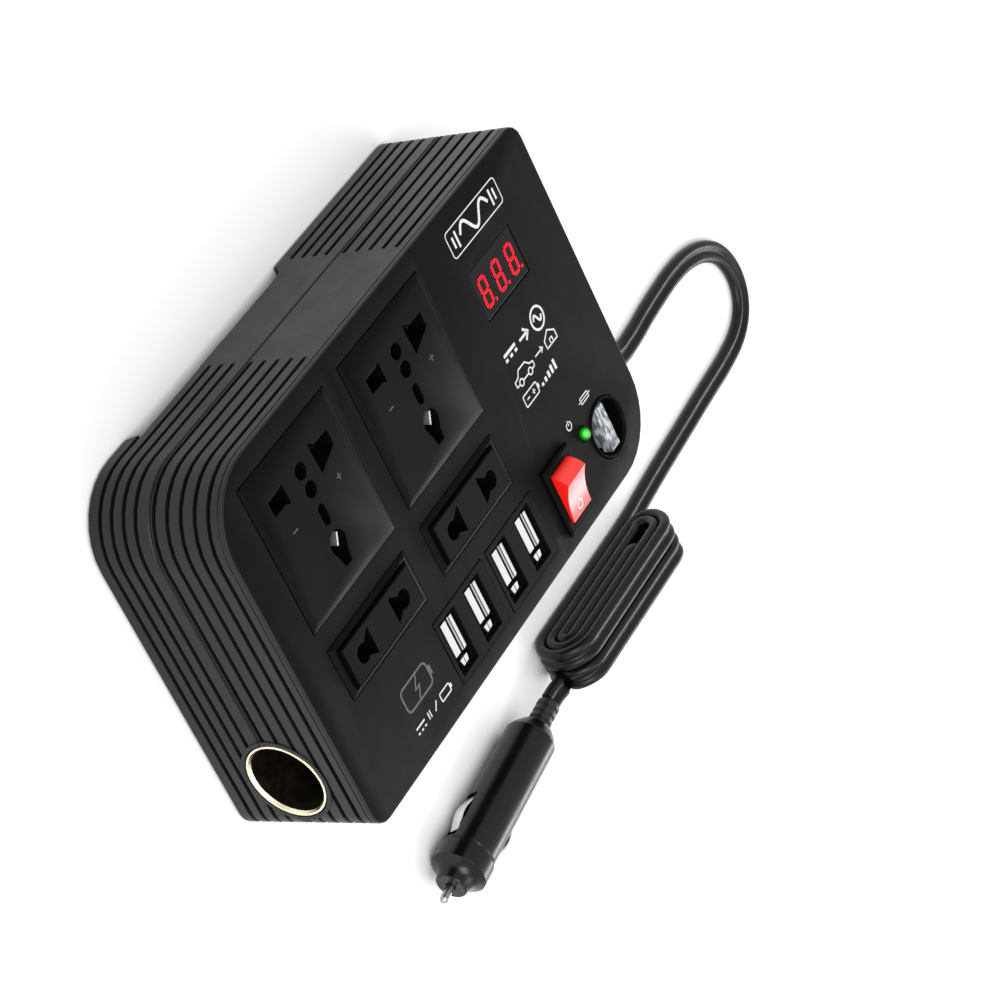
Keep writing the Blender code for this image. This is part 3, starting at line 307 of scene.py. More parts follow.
def flex_finish():
    """Soft PVC: satin, with a slight orange-peel skin and faint drag lines."""
    finish = Finish("flex_pvc", (0.003, 0.003, 0.003), 0.26, Specular_IOR_Level=0.28)
    finish.colours(finish.noise(5.0, 5.0), (0.0015, 0.0015, 0.0016), (0.003, 0.003, 0.0032))
    finish.drive("Roughness", finish.ramp(finish.noise(2.5, 5.0, offset=2.0), 0.33, 0.42))
    finish.bump(finish.noise(4.0, 1.0), 0.02)
    finish.bump(finish.noise(0.3, 1.0, offset=5.0), 0.0006)
    return finish.made


def rocker_finish():
    """Translucent red polycarbonate."""
    finish = Finish("red_rocker", (0.85, 0.02, 0.012), 0.28, Subsurface_Weight=0.15, Coat_Weight=0.7)
    finish.set("Subsurface Radius", (1.0, 0.15, 0.1))
    finish.set("Subsurface Scale", 1.5 * MM)
    finish.set("Coat Roughness", 0.32)
    finish.rounded(0.3)
    finish.colours(finish.noise(3.0, 4.0), (0.95, 0.008, 0.004), (1.0, 0.02, 0.01))
    finish.drive("Roughness", finish.ramp(finish.noise(1.2, 4.0), 0.3, 0.36))
    finish.bump(finish.cells(0.3), 0.001)
    return finish.made


LAMP_SPOT = (-0.9, 0.65, -0.3)
LAMP_REACH = 2.4


def lamp_finish():
    """A green lamp cap with a deep green rim, lit from a spot a little off its middle."""
    finish = Finish("green_led", (0.01, 0.35, 0.03), 0.2, Specular_IOR_Level=0.15)
    low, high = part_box("power_led")
    distance = finish.tree.nodes.new("ShaderNodeVectorMath")
    distance.operation = "DISTANCE"
    top = Vector(((low.x + high.x) / 2, (low.y + high.y) / 2, high.z))
    distance.inputs[1].default_value = top + Vector(LAMP_SPOT) * MM
    finish.link(finish.place, distance.inputs[0])
    glow = finish.ramp(distance.outputs["Value"], 1.0, 0.0, 0.0, LAMP_REACH * MM)
    finish.colours(glow, (0.0, 0.02, 0.001), (0.003, 0.25, 0.008))
    falloff = finish.tree.nodes.new("ShaderNodeMath")
    falloff.operation = "POWER"
    falloff.inputs[1].default_value = 3.0
    finish.link(glow, falloff.inputs[0])
    finish.set("Emission Color", (0.10, 1.0, 0.08, 1.0))
    finish.drive("Emission Strength", finish.ramp(falloff.outputs["Value"], 0.01, 2.6, 0.0, 1.0))
    finish.bump(finish.noise(0.8, 2.0), 0.01)
    return finish.made


def fuse_finish_painted_reflections():
    """Clear moulded fuse body, slightly hazed, with painted reflections: dark and white streaks in its
    colour.
    """
    finish = Finish("clear_fuse", (0.92, 0.96, 1.0), 0.12, Transmission_Weight=0.55, IOR=1.46)
    finish.rounded(0.3)
    # Painted reflections: streaks from dark to white in the body's colour.
    finish.colours(finish.ramp(finish.noise(1.1, 3.0, (1.0, 0.35, 1.0)), 0.0, 1.0, 0.42, 0.56),
                   (0.2, 0.24, 0.3), (0.98, 0.99, 1.0))
    finish.drive("Roughness", finish.ramp(finish.noise(1.5, 4.0, offset=1.0), 0.06, 0.25))
    finish.bump(finish.noise(1.3, 2.0, (1.0, 0.4, 1.0)), 0.5)
    return finish.made


def window_finish():
    """Smoked glossy display window."""
    finish = Finish("display_smoke", (0.002, 0.001, 0.001), 0.16, Specular_IOR_Level=0.2)
    finish.rounded(0.2)
    finish.colours(finish.noise(5.0, 3.0), (0.0012, 0.0006, 0.0006), (0.003, 0.0012, 0.0012))
    finish.drive("Roughness", finish.ramp(finish.noise(4.0, 5.0, offset=4.0), 0.12, 0.24))
    finish.bump(finish.noise(6.0, 2.0), 0.02)
    return finish.made


def digit_finish():
    finish = Finish("display_red", (0.35, 0.002, 0.006), 0.4, Specular_IOR_Level=0.1)
    finish.set("Emission Color", (1.0, 0.0, 0.02, 1.0))
    finish.drive("Emission Strength", finish.ramp(finish.noise(1.1, 2.0), 0.75, 1.15))
    finish.bump(finish.noise(0.3, 2.0), 0.01)
    return finish.made


def ink_finish(name, dark, light):
    """Pad-printed ink: thin and slightly speckled."""
    finish = Finish(name, light, 0.5)
    finish.colours(finish.ramp(finish.noise(0.35, 3.0), 0.0, 1.0, 0.25, 0.6), dark, light)
    finish.drive("Roughness", finish.ramp(finish.noise(1.5, 3.0), 0.42, 0.6))
    finish.bump(finish.noise(0.2, 2.0), 0.01)
    return finish.made


def white_finish():
    return moulded("white_plastic", (0.50, 0.51, 0.52), (0.60, 0.60, 0.60), 0.38, 0.5, 0.004, 0.15)


def board_finish():
    """Green solder mask over traces."""
    finish = Finish("board_green", (0.02, 0.13, 0.05), 0.32, Coat_Weight=0.3)
    tracks = finish.ramp(finish.cells(3.0, "DISTANCE_TO_EDGE"), 1.0, 0.0, 0.1, 0.16)
    finish.colours(tracks, (0.012, 0.09, 0.03), (0.035, 0.2, 0.07))
    finish.drive("Roughness", finish.ramp(finish.noise(2.0, 3.0), 0.25, 0.4))
    finish.bump(tracks, 0.03)
    return finish.made


def ferrite_finish():
    finish = Finish("ferrite", (0.05, 0.05, 0.055), 0.6)
    finish.colours(finish.noise(1.0, 6.0), (0.03, 0.03, 0.033), (0.075, 0.075, 0.08))
    finish.drive("Roughness", finish.ramp(finish.noise(0.6, 4.0), 0.5, 0.7))
    finish.bump(finish.noise(0.3, 4.0), 0.03)
    return finish.made


def winding_finish():
    """Enamelled copper wire, wound in level turns."""
    finish = Finish("copper", (0.72, 0.3, 0.12), 0.3, 1.0)
    turns = finish.wave(0.9, "Z", 0.4)
    finish.colours(turns, (0.35, 0.11, 0.03), (0.8, 0.36, 0.15))
    finish.drive("Roughness", finish.ramp(finish.noise(1.0, 3.0), 0.25, 0.4))
    finish.bump(turns, 0.25)
    return finish.made


def sleeve_finish():
    finish = Finish("sleeve", (0.02, 0.04, 0.12), 0.3, Coat_Weight=0.2)
    finish.colours(finish.noise(4.0, 4.0), (0.012, 0.025, 0.09), (0.03, 0.055, 0.15))
    finish.drive("Roughness", finish.ramp(finish.noise(3.0, 4.0), 0.24, 0.4))
    finish.bump(finish.noise(2.0, 3.0), 0.05)
    return finish.made


side_black, panel_black = casing_finishes()
FINISHES = {
    "case_black": side_black,
    "socket_black": socket_finish(),
    "brass": metal("brass", (0.62, 0.47, 0.22), (0.86, 0.74, 0.48), 0.26, (0.15, 1.0, 1.0)),
    "steel": metal("steel", (0.42, 0.42, 0.43), (0.62, 0.62, 0.62), 0.3, (1.0, 1.0, 0.1)),
    "nickel": metal("nickel", (0.66, 0.66, 0.65), (0.86, 0.86, 0.85), 0.2, (1.0, 0.15, 1.0)),
    "aluminium": metal("aluminium", (0.5, 0.51, 0.52), (0.7, 0.71, 0.72), 0.36, (1.0, 0.1, 1.0)),
    "white_plastic": white_finish(),
    "red_rocker": rocker_finish(),
    "green_led": lamp_finish(),
    "clear_fuse": fuse_finish_painted_reflections(),
    "display_smoke": window_finish(),
    "display_red": digit_finish(),
    "board_green": board_finish(),
    "ferrite": ferrite_finish(),
    "copper": winding_finish(),
    "sleeve": sleeve_finish(),
    "flex_pvc": flex_finish(),
}
ink_white = ink_finish("ink_white", (0.42, 0.42, 0.42), (0.68, 0.68, 0.68))
ink_grey = ink_finish("ink_grey", (0.05, 0.05, 0.05), (0.09, 0.09, 0.09))
ink_red = ink_finish("ink_red", (0.85, 0.5, 0.5), (0.95, 0.65, 0.65))
guide_grey = ink_finish("guide_grey", (0.30, 0.30, 0.30), (0.45, 0.45, 0.45))
# Near black: painted shade for the sides of the parts inside the USB ports.
guide_dark = ink_finish("guide_dark", (0.004, 0.004, 0.004), (0.010, 0.010, 0.010))
leaf_metal = metal("leaf_metal", (0.75, 0.75, 0.74), (0.95, 0.95, 0.94), 0.5, (1.0, 1.0, 0.2))
# Nickel darkened for the plug's tip: painted shade, standing in for darker reflections on the pin.
nickel_pin_painted_shade = metal("nickel_pin_painted_shade", (0.22, 0.22, 0.22), (0.45, 0.45, 0.45), 0.22, (1.0, 0.15, 1.0))
boot_black = boot_finish()
plug_black = plug_finish()
nickel_painted_shade = port_shade_metal()
brass_painted_shade = bore_shade_metal()
brass_lip_painted_highlight = lip_highlight_metal()


# ---------------------------------------------------------------- the supply lead

LAID = 2.5
LEAD_ROUTE = (
    (102.4, -26.0, 21.1),
    (106.4, -27.0, 20.5),
    (110.6, -32.3, 17.5),
    (114.2, -41.0, 12.6),
    (119.2, -49.2, 8.0),
    (126.8, -56.4, 4.3),
    (137.0, -60.6, 2.6),
    (148.0, -60.6, LAID),
    (158.0, -59.6, LAID),
    (168.0, -59.0, LAID),
    (178.0, -58.8, LAID),
    (188.0, -59.9, LAID),
    (197.5, -63.2, LAID),
    (205.0, -69.3, LAID),
    (208.4, -77.5, LAID),
    (207.6, -85.6, LAID),
    (203.0, -92.0, LAID),
    (195.0, -95.9, LAID),
    (183.0, -97.6, LAID),
    (169.0, -98.2, LAID),
    (150.5, -99.2, LAID),
    (132.0, -100.2, LAID),
    (118.0, -101.2, LAID),
    (109.6, -101.9, LAID),
)
TAIL_ROUTE = (
    (39.1, -109.4, 9.6),
    (36.8, -109.6, 9.2),
    (34.4, -109.9, 8.8),
    (31.9, -110.2, 8.6),
)
EXIT_Z = 21.1
GLAND_MOUTH = (100.75, -26.0, 21.1)
BOOT_GAP = 0.35
HANK_Z = 10.15
HANK_RIGHT = 99.85
HANK_LEFT = 49.65
TURNS = (8.46, 5.08, 1.7)
CROSSING = 0.8  # share of its run at which the flex begins to cross to the far column
SHRINK = (0.5, 0.95)  # shares of a right-hand turn between which it moves one layer in
GROW = (0.3, 0.62)  # shares of a left-hand turn between which it moves one layer out
LAST_TURN = 0.25  # share of a half turn after which the tail leaves the hank
ROUTE_STEP = 2.5
PATH_STEP = 1.3
LAID_FROM = 111.85  # beyond this the flex lies flat on the floor
NEAR_COLUMN = -102.1
FAR_COLUMN = -109.5


def smooth_route(points, step):
    """Evenly spaced points on a Catmull-Rom curve through the given ones."""
    knots = [Vector(p) for p in points]
    knots = [2 * knots[0] - knots[1]] + knots + [2 * knots[-1] - knots[-2]]
    fine = []
    for a, b, c, d in zip(knots, knots[1:], knots[2:], knots[3:]):
        for i in range(16):
            t = i / 16
            square = (2 * a - 5 * b + 4 * c - d) * t**2
            cube = (3 * b - a - 3 * c + d) * t**3
            fine.append(0.5 * (2 * b + (c - a) * t + square + cube))
    fine.append(knots[-2])
    lengths = [0.0]
    for a, b in zip(fine, fine[1:]):
        lengths.append(lengths[-1] + (b - a).length)
    count = max(2, round(lengths[-1] / step))
    even, place = [], 0
    for i in range(count + 1):
        target = lengths[-1] * i / count
        while place < len(lengths) - 2 and lengths[place + 1] < target:
            place += 1
        share = (target - lengths[place]) / (lengths[place + 1] - lengths[place])
        even.append(fine[place].lerp(fine[place + 1], share))
    return even


def eased(share):
    share = min(1.0, max(0.0, share))
    return share * share * (3 - 2 * share)


def hank_route():
    """Twelve runs wound as two flat spirals side by side, inwards in the near one and outwards in the far."""
    points = []

    def run(height, x0, x1, y0, y1, steps=16):
        for i in range(steps):
            share = i / steps
            y = y0 + (y1 - y0) * eased((share - CROSSING) / (1 - CROSSING))
            points.append(Vector((x0 + (x1 - x0) * share, y, HANK_Z + height)))

    def turn(centre, start, r0, r1, y, change=(0.0, 1.0), steps=12, reach=1.0):
        for i in range(int(steps * reach)):
            share = i / steps
            radius = r0 + (r1 - r0) * eased((share - change[0]) / (change[1] - change[0]))
            angle = math.radians(start - 180 * share)
            points.append(Vector((centre + radius * math.cos(angle), y, HANK_Z + radius * math.sin(angle))))

    near, far, smallest = NEAR_COLUMN, FAR_COLUMN, TURNS[-1]
    for radius, inner in zip(TURNS, (*TURNS[1:], smallest)):
        innermost = radius == smallest
        run(-radius, HANK_RIGHT, HANK_LEFT, near, near)
        turn(HANK_LEFT, 270, radius, radius, near)
        run(radius, HANK_LEFT, HANK_RIGHT, near, far if innermost else near)
        turn(HANK_RIGHT, 90, radius, inner, far if innermost else near, SHRINK)
    for radius, outer in zip(TURNS[::-1], TURNS[-2::-1]):
        run(-radius, HANK_RIGHT, HANK_LEFT, far, far)
        turn(HANK_LEFT, 270, radius, outer, far, GROW)
        run(outer, HANK_LEFT, HANK_RIGHT, far, far)
        turn(HANK_RIGHT, 90, outer, outer, far)
    run(-TURNS[0], HANK_RIGHT, HANK_LEFT, far, far)
    turn(HANK_LEFT, 270, TURNS[0], TURNS[0], far, reach=LAST_TURN)
    return points


def lowered(point):
    """The flat flex lies lower on the floor than the round tube that stands for it."""
    share = (EXIT_Z - point[2]) / (EXIT_Z - LAID)
    return Vector((point[0], point[1], point[2] - (LAID - FLOOR_HEIGHT) * eased(share)))


def lead_path():
    """From the gland's mouth along the floor, round the hank and into the plug's boot."""
    start = smooth_route([Vector(GLAND_MOUTH)] + [lowered(p) for p in LEAD_ROUTE], ROUTE_STEP)
    hank = hank_route()
    joint = smooth_route([start[-3], start[-1], hank[0], hank[2]], ROUTE_STEP)
    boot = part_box("plug_strain_relief")[1].x / MM
    last = Vector(TAIL_ROUTE[-1])
    last += (last - Vector(TAIL_ROUTE[-2])).normalized() * max(0.0, last.x - boot - BOOT_GAP)
    tail = smooth_route([hank[-1], *TAIL_ROUTE[:-1], last], ROUTE_STEP)
    line = start[:-3] + joint[:-1] + hank[2:-1] + tail
    return smooth_route(line, PATH_STEP)


def flex_profile():
    """Outline of the twin flex as (across, up): two round cores joined by a thin web."""
    right = arc(LOBE_R, WEB_ANGLE - 180, 180 - WEB_ANGLE, LOBE_STEPS, LOBE_OUT, 0.0)
    left = arc(LOBE_R, WEB_ANGLE, 360 - WEB_ANGLE, LOBE_STEPS, -LOBE_OUT, 0.0)
    return right + left


def supply_lead():
    """The flex swept along its path, turned to lie flat where it rests on the floor."""
    path = lead_path()
    bm = bmesh.new()
    profile = flex_profile()
    rings = []
    across = Vector((0, 1, 0))
    for i, here in enumerate(path):
        ahead = (path[min(i + 1, len(path) - 1)] - path[max(i - 1, 0)]).normalized()
        across = (across - ahead * across.dot(ahead)).normalized()
        flat = Vector((0, 0, 1)).cross(ahead)
        if here.x > LAID_FROM and flat.length > 0.5:
            across = flat.normalized()
        up = ahead.cross(across)
        rings.append([here + across * a + up * b for a, b in profile])
    loft(bm, rings)
    lead = piece("supply_lead", bm, "inverter", FINISHES["flex_pvc"], 60.0)
    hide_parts("cord_lead", "cord_hank", "cord_tail")


# ---------------------------------------------------------------- printed marks and lit parts

INK_LOW = PANEL_TOP - 0.02
INK_HIGH = PANEL_TOP + 0.03
PLATE_TOP = 45.9
PLATE_INK_LOW = PLATE_TOP - 0.02
PLATE_INK_HIGH = PLATE_TOP + 0.03


def centre_of(node):
    low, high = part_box(node)
    return (low.x + high.x) / 2 / MM, (low.y + high.y) / 2 / MM


def print_piece(name, strokes, ink, low=INK_LOW, high=INK_HIGH):
    """strokes are (points, width, closed)."""
    bm = bmesh.new()
    for points, width, closed in strokes:
        stroke(bm, points, width, low, high, closed)
    piece(name, bm, "inverter", ink)


def line(*points, width=0.4):
    return (points, width, False)


def ring(x, y, radius, width=0.4, steps=24):
    return (arc(radius, 0, 360 - 360 / steps, steps - 1, x, y), width, True)


def frame_line(x0, x1, y0, y1, radius, width=0.35):
    corners = ((x1, y1, 0), (x0, y1, 90), (x0, y0, 180), (x1, y0, 270))
    points = []
    for x, y, start in corners:
        cx = x - math.copysign(radius, x - (x0 + x1) / 2)
        cy = y - math.copysign(radius, y - (y0 + y1) / 2)
        points += arc(radius, start, start + 90, 5, cx, cy)
    return (points, width, True)


def sine(x0, x1, y, height, waves=1.0, width=0.5, steps=32):
    points = []
    for i in range(steps + 1):
        share = i / steps
        points.append((x0 + (x1 - x0) * share, y + height * math.sin(math.tau * waves * share)))
    return (points, width, False)


def direct_current(x0, x1, y, width=0.6):
    """The mark for direct current: a solid bar over a dashed one."""
    fifth = (x1 - x0) / 5
    marks = [line((x0, y + 0.6), (x1, y + 0.6), width=width)]
    for k in range(0, 6, 2):
        marks.append(line((x0 + k * fifth, y - 1.0), (x0 + (k + 1) * fifth, y - 1.0), width=width))
    return marks


def badge_print():
    """A sine wave between two pairs of bars, in a frame."""
    badge = [frame_line(38.0, 66.6, 39.2, 47.1, 1.2)]
    badge.append(sine(44.2, 60.4, 43.1, 2.6, 1.5, 0.95))
    badge += [line((40.4, 41.4), (40.4, 44.8), width=0.8), line((42.3, 40.6), (42.3, 45.6), width=0.8)]
    badge += [line((62.3, 40.6), (62.3, 45.6), width=0.8), line((64.2, 41.4), (64.2, 44.8), width=0.8)]
    print_piece("print_badge", badge, ink_white)


def conversion_print():
    """Direct current, an arrow, and alternating current in a ring."""
    power = direct_current(38.4, 45.0, 6.2, 0.95)
    power.append(line((47.2, 6.0), (51.8, 6.0), width=0.8))
    power.append(line((50.2, 7.8), (52.2, 6.0), (50.2, 4.2), width=0.8))
    power.append(ring(58.2, 6.0, 3.3, 0.7))
    power.append(sine(56.1, 60.3, 6.0, 1.3, 1.0, 0.7))
    print_piece("print_conversion", power, ink_white)


def use_print():
    """A car, an arrow and a house."""
    roof = ((38.0, -3.2), (38.0, -1.6), (40.0, -1.2), (41.4, 0.4), (45.2, 0.4), (46.8, -1.2), (48.6, -1.6))
    car = [line(*roof, (48.6, -3.2), width=0.45)]
    car += [line((38.0, -3.2), (39.4, -3.2), width=0.45), line((42.0, -3.2), (44.8, -3.2), width=0.45)]
    car.append(line((47.2, -3.2), (48.6, -3.2), width=0.45))
    car += [ring(40.7, -3.2, 1.0, 0.45), ring(46.0, -3.2, 1.0, 0.45)]
    arrow = [line((50.4, -1.6), (54.6, -1.6), width=0.45)]
    arrow.append(line((53.6, -0.7), (54.8, -1.6), (53.6, -2.5), width=0.45))
    walls = ((56.6, -3.4), (56.6, -1.0), (59.6, 0.9), (62.6, -1.0), (62.6, -3.4), (56.4, -3.4))
    house = [line(*walls, width=0.45)]
    house.append(line((59.0, -3.4), (59.0, -1.8), (60.4, -1.8), (60.4, -3.4), width=0.4))
    print_piece("print_use", car + arrow + house, ink_white)


def level_print():
    """A battery and five rising bars."""
    battery = [frame_line(38.2, 45.8, -10.0, -6.6, 0.4, 0.4), line((46.3, -9.0), (46.3, -7.6), width=0.8)]
    battery += [line((39.6, -8.3), (41.2, -8.3), width=0.4), line((42.8, -8.3), (44.4, -8.3), width=0.4)]
    battery.append(line((43.6, -9.1), (43.6, -7.5), width=0.4))
    bars = [line((48.4 + 2.0 * k, -9.9), (48.4 + 2.0 * k, -9.0 + 0.55 * k), width=1.1) for k in range(5)]
    print_piece("print_level", battery + bars, ink_white)


def lamp_and_fuse_print():
    """The power mark above the lamp and the fuse mark above the fuse."""
    ring_gap = arc(1.25, 120, 420, 18, 50.6, -25.6)
    marks = [(ring_gap, 0.38, False), line((50.6, -25.5), (50.6, -23.9), width=0.38)]
    marks += [frame_line(59.6, 64.0, -24.9, -23.1, 0.2, 0.36), line((58.4, -24.0), (65.2, -24.0), width=0.3)]
    print_piece("print_lamp_and_fuse", marks, ink_white)


def charging_print():
    """A row of small marks below the battery mark."""
    supply = direct_current(-57.0, -52.6, -44.3, 0.5)
    supply += [line((x, -45.4), (x, -43.2), width=0.4) for x in (-50.6, -49.6)]
    supply.append(line((-47.4, -45.4), (-45.6, -43.2), width=0.4))
    supply += [frame_line(-43.6, -38.6, -45.5, -43.1, 0.4, 0.4)]
    supply.append(line((-38.0, -44.9), (-38.0, -43.7), width=0.6))
    print_piece("print_charging", supply, ink_white)


def battery_mark():
    """A battery with a bolt in it, moulded beside the ports."""
    bolt = line((-48.2, -32.4), (-50.4, -35.6), (-48.2, -35.4), (-50.2, -38.4), width=0.5)
    moulded_mark = [frame_line(-56.4, -43.0, -38.9, -31.9, 1.6, 0.55), bolt]
    moulded_mark.append(line((-42.2, -36.8), (-42.2, -34.0), width=0.9))
    print_piece("mark_battery", moulded_mark, ink_grey)


def socket_marks():
    """A minus and a plus beside the flat ways of each outlet."""
    sockets = []
    for node in ("socket_plate_left", "socket_plate_right"):
        x, y = centre_of(node)
        sockets.append(line((x - 12.4, y + 2.2), (x - 10.2, y + 2.2), width=0.3))
        sockets.append(line((x + 11.3, y + 1.2), (x + 11.3, y + 3.2), width=0.3))
        sockets.append(line((x + 10.3, y + 2.2), (x + 12.3, y + 2.2), width=0.3))
    print_piece("mark_sockets", sockets, ink_grey, low=PLATE_INK_LOW, high=PLATE_INK_HIGH)


def panel_print():
    badge_print()
    conversion_print()
    use_print()
    level_print()
    lamp_and_fuse_print()
    charging_print()
    battery_mark()
    socket_marks()


DIGIT_LEFT = 41.3
DIGIT_PITCH = 7.8
DIGIT_BASE = 20.3
DIGIT_WIDTH = 4.2
DIGIT_HEIGHT = 9.4
DIGIT_STROKE = 0.95
DIGIT_LEAN = 0.06
DIGIT_GAP = 0.12
DIGIT_COUNT = 3
DIGIT_SUNK = 0.05
DIGIT_RAISED = 0.04
POINT_RADIUS = 0.52
POINT_OUT = 1.0
POINT_UP = 0.5


def digit_segments(bm, x, z0, z1):
    """Seven bars with pointed ends, leaning slightly, and a point."""
    half = DIGIT_STROKE / 2
    w, h = DIGIT_WIDTH, DIGIT_HEIGHT
    joints = [(across, up) for up in (half, h / 2, h - half) for across in (half, w - half)]
    for a, b in ((0, 1), (2, 3), (4, 5), (0, 2), (1, 3), (2, 4), (3, 5)):
        start, end = Vector(joints[a]), Vector(joints[b])
        ahead = (end - start).normalized()
        side = Vector((-ahead.y, ahead.x)) * half
        start += ahead * DIGIT_GAP
        end -= ahead * DIGIT_GAP
        near, far = start + ahead * half, end - ahead * half
        outline = [start, near - side, far - side, end, far + side, near + side]
        slab(bm, [(x + p.x + DIGIT_LEAN * p.y, DIGIT_BASE + p.y) for p in outline], z0, z1)
    slab(bm, arc(POINT_RADIUS, 0, 330, 11, x + w + POINT_OUT, DIGIT_BASE + POINT_UP), z0, z1)


def display_digits():
    bm = bmesh.new()
    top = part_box("display_window")[1].z / MM
    for k in range(DIGIT_COUNT):
        digit_segments(bm, DIGIT_LEFT + DIGIT_PITCH * k, top - DIGIT_SUNK, top + DIGIT_RAISED)
    piece("display_digits", bm, "inverter", FINISHES["display_red"])


# ---------------------------------------------------------------- small parts inside the outlets

PORT_FLOOR = 36.0
GUIDE_TOP = 44.4
FOOT_TOP = 44.3
FACE_TOP = 44.1


def paint_port_shade(made):
    """Paints shade: every face but the top ones gets a near-black finish, as painted shade for the shade of
    the port.
    """
    made.data.materials.append(guide_dark)
    for face in made.data.polygons:
        if face.normal.z < 0.5:
            face.material_index = 1


def usb_insides():
    """In each port, beside the tongue: the shell's slender guide with its grey face, and a split foot."""
    guide = [(1.5, -3.8), (2.7, -3.4), (2.7, 7.2), (1.5, 7.2)]
    foot = [(-2.1, -5.1), (-0.4, -5.0), (-0.5, -7.2), (-1.5, -7.2)]
    other_foot = [(-0.1, -5.0), (1.6, -5.2), (1.2, -7.0), (-0.2, -7.2)]
    grey_face = [(0.75, -3.8), (1.4, -3.8), (1.4, 7.2), (0.75, 7.2)]
    for number in range(1, 5):
        x, y = centre_of(f"usb_shell_{number}")
        bm = bmesh.new()
        for outline, top in ((guide, GUIDE_TOP), (foot, FOOT_TOP), (other_foot, FOOT_TOP)):
            slab(bm, [(x + a, y + b) for a, b in outline], PORT_FLOOR, top)
        # The sides of the guides and grey faces get painted shade.
        paint_port_shade(piece(f"usb_guide_{number}", bm, "inverter", FINISHES["white_plastic"]))
        bm = bmesh.new()
        slab(bm, [(x + a, y + b) for a, b in grey_face], PORT_FLOOR, FACE_TOP)
        paint_port_shade(piece(f"usb_guide_face_{number}", bm, "inverter", guide_grey))


LEAF_PLACE = (1.2, -10.0, 43.6)
LEAF_TURN = -31.0
LEAF_THICK = 0.25
LEAF_WIDE = 1.8
LEAF_HIGH = 1.5


def earth_leaves():
    """The bright folded end of the earth contact, just inside its way."""
    for side in ("left", "right"):
        x, y = centre_of(f"socket_plate_{side}")
        place = Matrix.Translation(Vector((x, y, 0.0)) + Vector(LEAF_PLACE))
        turn = place @ Matrix.Rotation(math.radians(LEAF_TURN), 4, "Z")
        bm = bmesh.new()
        corners = [(-LEAF_THICK, -LEAF_WIDE), (LEAF_THICK, -LEAF_WIDE)]
        corners += [(LEAF_THICK, LEAF_WIDE), (-LEAF_THICK, LEAF_WIDE)]
        slab(bm, corners, -LEAF_HIGH, LEAF_HIGH)
        bmesh.ops.transform(bm, matrix=turn, verts=bm.verts)
        piece(f"earth_leaf_{side}", bm, "inverter", leaf_metal)


ROCKER_PIVOT = (37.7, -38.0, 44.5)
ROCKER_TILT = 16.5
ROCKER_CORNER = (6.47, 4.87)  # where the hollow top ends, along and above the pivot
ROCKER_HOLLOW = 0.9


def rocker_marks():
    """Moulded-in white on and off marks, each lying in the hollow of the rocker's top."""
    reach, height = ROCKER_CORNER
    rest = Matrix.Translation(ROCKER_PIVOT) @ Matrix.Rotation(math.radians(ROCKER_TILT), 4, "X")
    bm = bmesh.new()
    for y, (points, width, closed) in ((3.7, line((-1.5, 0.0), (1.5, 0.0), width=0.5)),
                                       (-3.9, ring(0.0, 0.0, 1.3, 0.42))):
        mark = bmesh.new()
        stroke(mark, points, width, -0.02, 0.07, closed)
        z = height - ROCKER_HOLLOW * (1 - (y / reach) ** 2)
        slope = math.atan(2 * ROCKER_HOLLOW * y / reach**2)
        place = rest @ Matrix.Translation((0.0, y, z)) @ Matrix.Rotation(slope, 4, "X")
        bmesh.ops.transform(mark, matrix=place, verts=mark.verts)
        mesh = bpy.data.meshes.new("mark")
        mark.to_mesh(mesh)
        mark.free()
        bm.from_mesh(mesh)
        bpy.data.meshes.remove(mesh)
    piece("rocker_marks", bm, "rocker", ink_red)


# ---------------------------------------------------------------- CAD nodes

EDGE_ANGLE = 26.2
JOIN_WITHIN = 0.005
LEVEL = 0.99


def tidy_group():
    """Joins a faceted solid's corners, smooths its round faces and keeps its edges sharp."""
    group = bpy.data.node_groups.new("smooth_faces", "GeometryNodeTree")
    group.interface.new_socket("Geometry", in_out="INPUT", socket_type="NodeSocketGeometry")
    group.interface.new_socket("Geometry", in_out="OUTPUT", socket_type="NodeSocketGeometry")
    make = group.nodes.new
    start, end = make("NodeGroupInput"), make("NodeGroupOutput")
    merge, forget = make("GeometryNodeMergeByDistance"), make("GeometryNodeRemoveAttribute")
    faces, edges = make("GeometryNodeSetShadeSmooth"), make("GeometryNodeSetShadeSmooth")
    angle, compare = make("GeometryNodeInputMeshEdgeAngle"), make("FunctionNodeCompare")
    merge.inputs["Distance"].default_value = JOIN_WITHIN * MM
    forget.inputs["Name"].default_value = "custom_normal"
    faces.domain, edges.domain = "FACE", "EDGE"
    faces.inputs["Shade Smooth"].default_value = True
    edges.inputs["Shade Smooth"].default_value = False
    compare.operation = "GREATER_THAN"
    compare.inputs["B"].default_value = math.radians(EDGE_ANGLE)
    chain = (start, merge, forget, faces, edges, end)
    for a, b in zip(chain, chain[1:]):
        group.links.new(a.outputs["Geometry"], b.inputs["Geometry"])
    group.links.new(angle.outputs["Unsigned Angle"], compare.inputs["A"])
    group.links.new(compare.outputs["Result"], edges.inputs["Selection"])
    return group


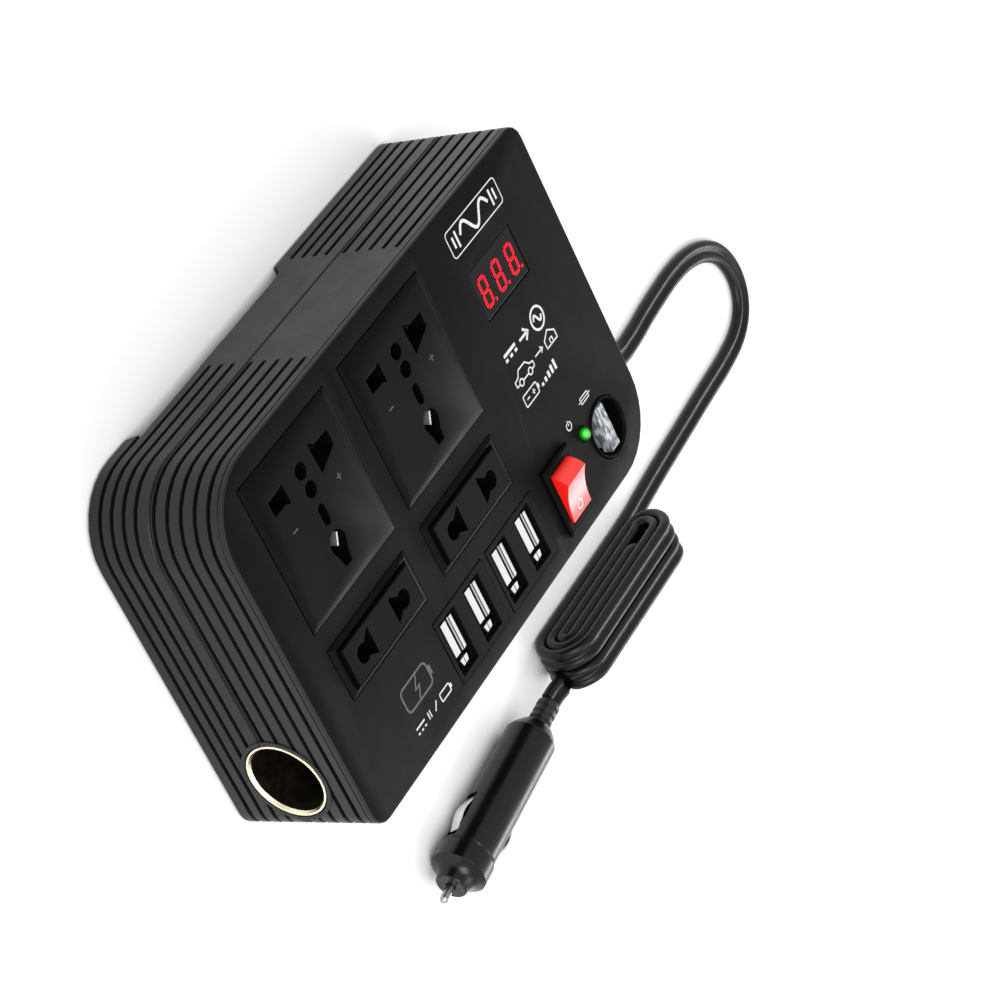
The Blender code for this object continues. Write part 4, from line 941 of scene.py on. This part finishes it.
def finish_nodes():
    group = tidy_group()
    for name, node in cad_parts.items():
        step = node.modifiers.new("smooth_faces", "NODES")
        step.node_group = group
        slot = node.data.materials[0].name.split(".")[0]
        node.data.materials[0] = FINISHES[slot]
    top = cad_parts["casing_top"].data
    top.materials.append(panel_black)
    for face in top.polygons:
        if face.normal.z > LEVEL and face.center.z > (PANEL_TOP - 0.1) * MM:
            face.material_index = 1
    for name in ("cord_gland", "plug_strain_relief"):
        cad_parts[name].data.materials[0] = boot_black
    for name in ("plug_body", "plug_nose"):
        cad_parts[name].data.materials[0] = plug_black
    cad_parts["plug_tip"].data.materials[0] = nickel_pin_painted_shade
    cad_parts["display_module"].data.materials[0] = FINISHES["display_smoke"]
    for number in range(1, 5):
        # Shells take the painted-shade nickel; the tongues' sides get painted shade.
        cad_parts[f"usb_shell_{number}"].data.materials[0] = nickel_painted_shade
        paint_port_shade(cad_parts[f"usb_tongue_{number}"])
    dress_liner(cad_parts["lighter_liner"].data)


LIP_DEPTH = 1.0


def dress_liner(mesh):
    """Painted highlight as a bright lip at the mouth of the lighter cup, painted shade as dark metal inside
    it.
    """
    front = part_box("lighter_liner")[0].x
    mesh.materials.append(brass_lip_painted_highlight)
    mesh.materials.append(brass_painted_shade)
    for face in mesh.polygons:
        face.material_index = 1 if face.center.x < front + LIP_DEPTH * MM else 2


# ---------------------------------------------------------------- stage

FLOOR_HALF = 4.0
FLOOR_DROP = 0.0002
SKY_STRENGTH = 0.8
SOFT_BOXES = {  # place in metres, width, height, power in watts
    "key": ((-1.5, 0.35, 1.45), 1.4, 1.4, 33.0),
    "fill": ((-0.2, -1.2, 1.6), 1.2, 1.2, 10.0),
    "low_strip": ((0.78, -0.87, 0.34), 0.7, 0.34, 4.5),
}


def make_stage():
    """A plain white floor under an even white sky, with three soft boxes."""
    bm = bmesh.new()
    bmesh.ops.create_grid(bm, x_segments=8, y_segments=8, size=FLOOR_HALF)
    mesh = bpy.data.meshes.new("floor")
    bm.to_mesh(mesh)
    bm.free()
    finish = Finish("floor", (0.95, 0.95, 0.95), 0.8)
    finish.colours(finish.noise(60.0, 3.0), (0.94, 0.94, 0.94), (0.96, 0.96, 0.96))
    mesh.materials.append(finish.made)
    floor = bpy.data.objects.new("floor", mesh)
    floor.location.z = -FLOOR_DROP
    bpy.context.scene.collection.objects.link(floor)

    world = bpy.data.worlds.new("studio")
    world.use_nodes = True
    world.node_tree.nodes["Background"].inputs["Color"].default_value = (1.0, 1.0, 1.0, 1.0)
    world.node_tree.nodes["Background"].inputs["Strength"].default_value = SKY_STRENGTH
    bpy.context.scene.world = world
    for name, (place, width, height, power) in SOFT_BOXES.items():
        soft_box(name, place, width, height, power)


def soft_box(name, place, width, height, power):
    data = bpy.data.lights.new(name, "AREA")
    data.shape = "RECTANGLE"
    data.size = width
    data.size_y = height
    data.energy = power
    light = bpy.data.objects.new(name, data)
    light.location = place
    light.rotation_euler = (-Vector(place)).to_track_quat("-Z", "Y").to_euler()
    bpy.context.scene.collection.objects.link(light)


make_camera()
supply_lead()
finish_nodes()
panel_print()
display_digits()
usb_insides()
earth_leaves()
rocker_marks()
make_stage()
bpy.context.scene.view_settings.view_transform = "Standard"
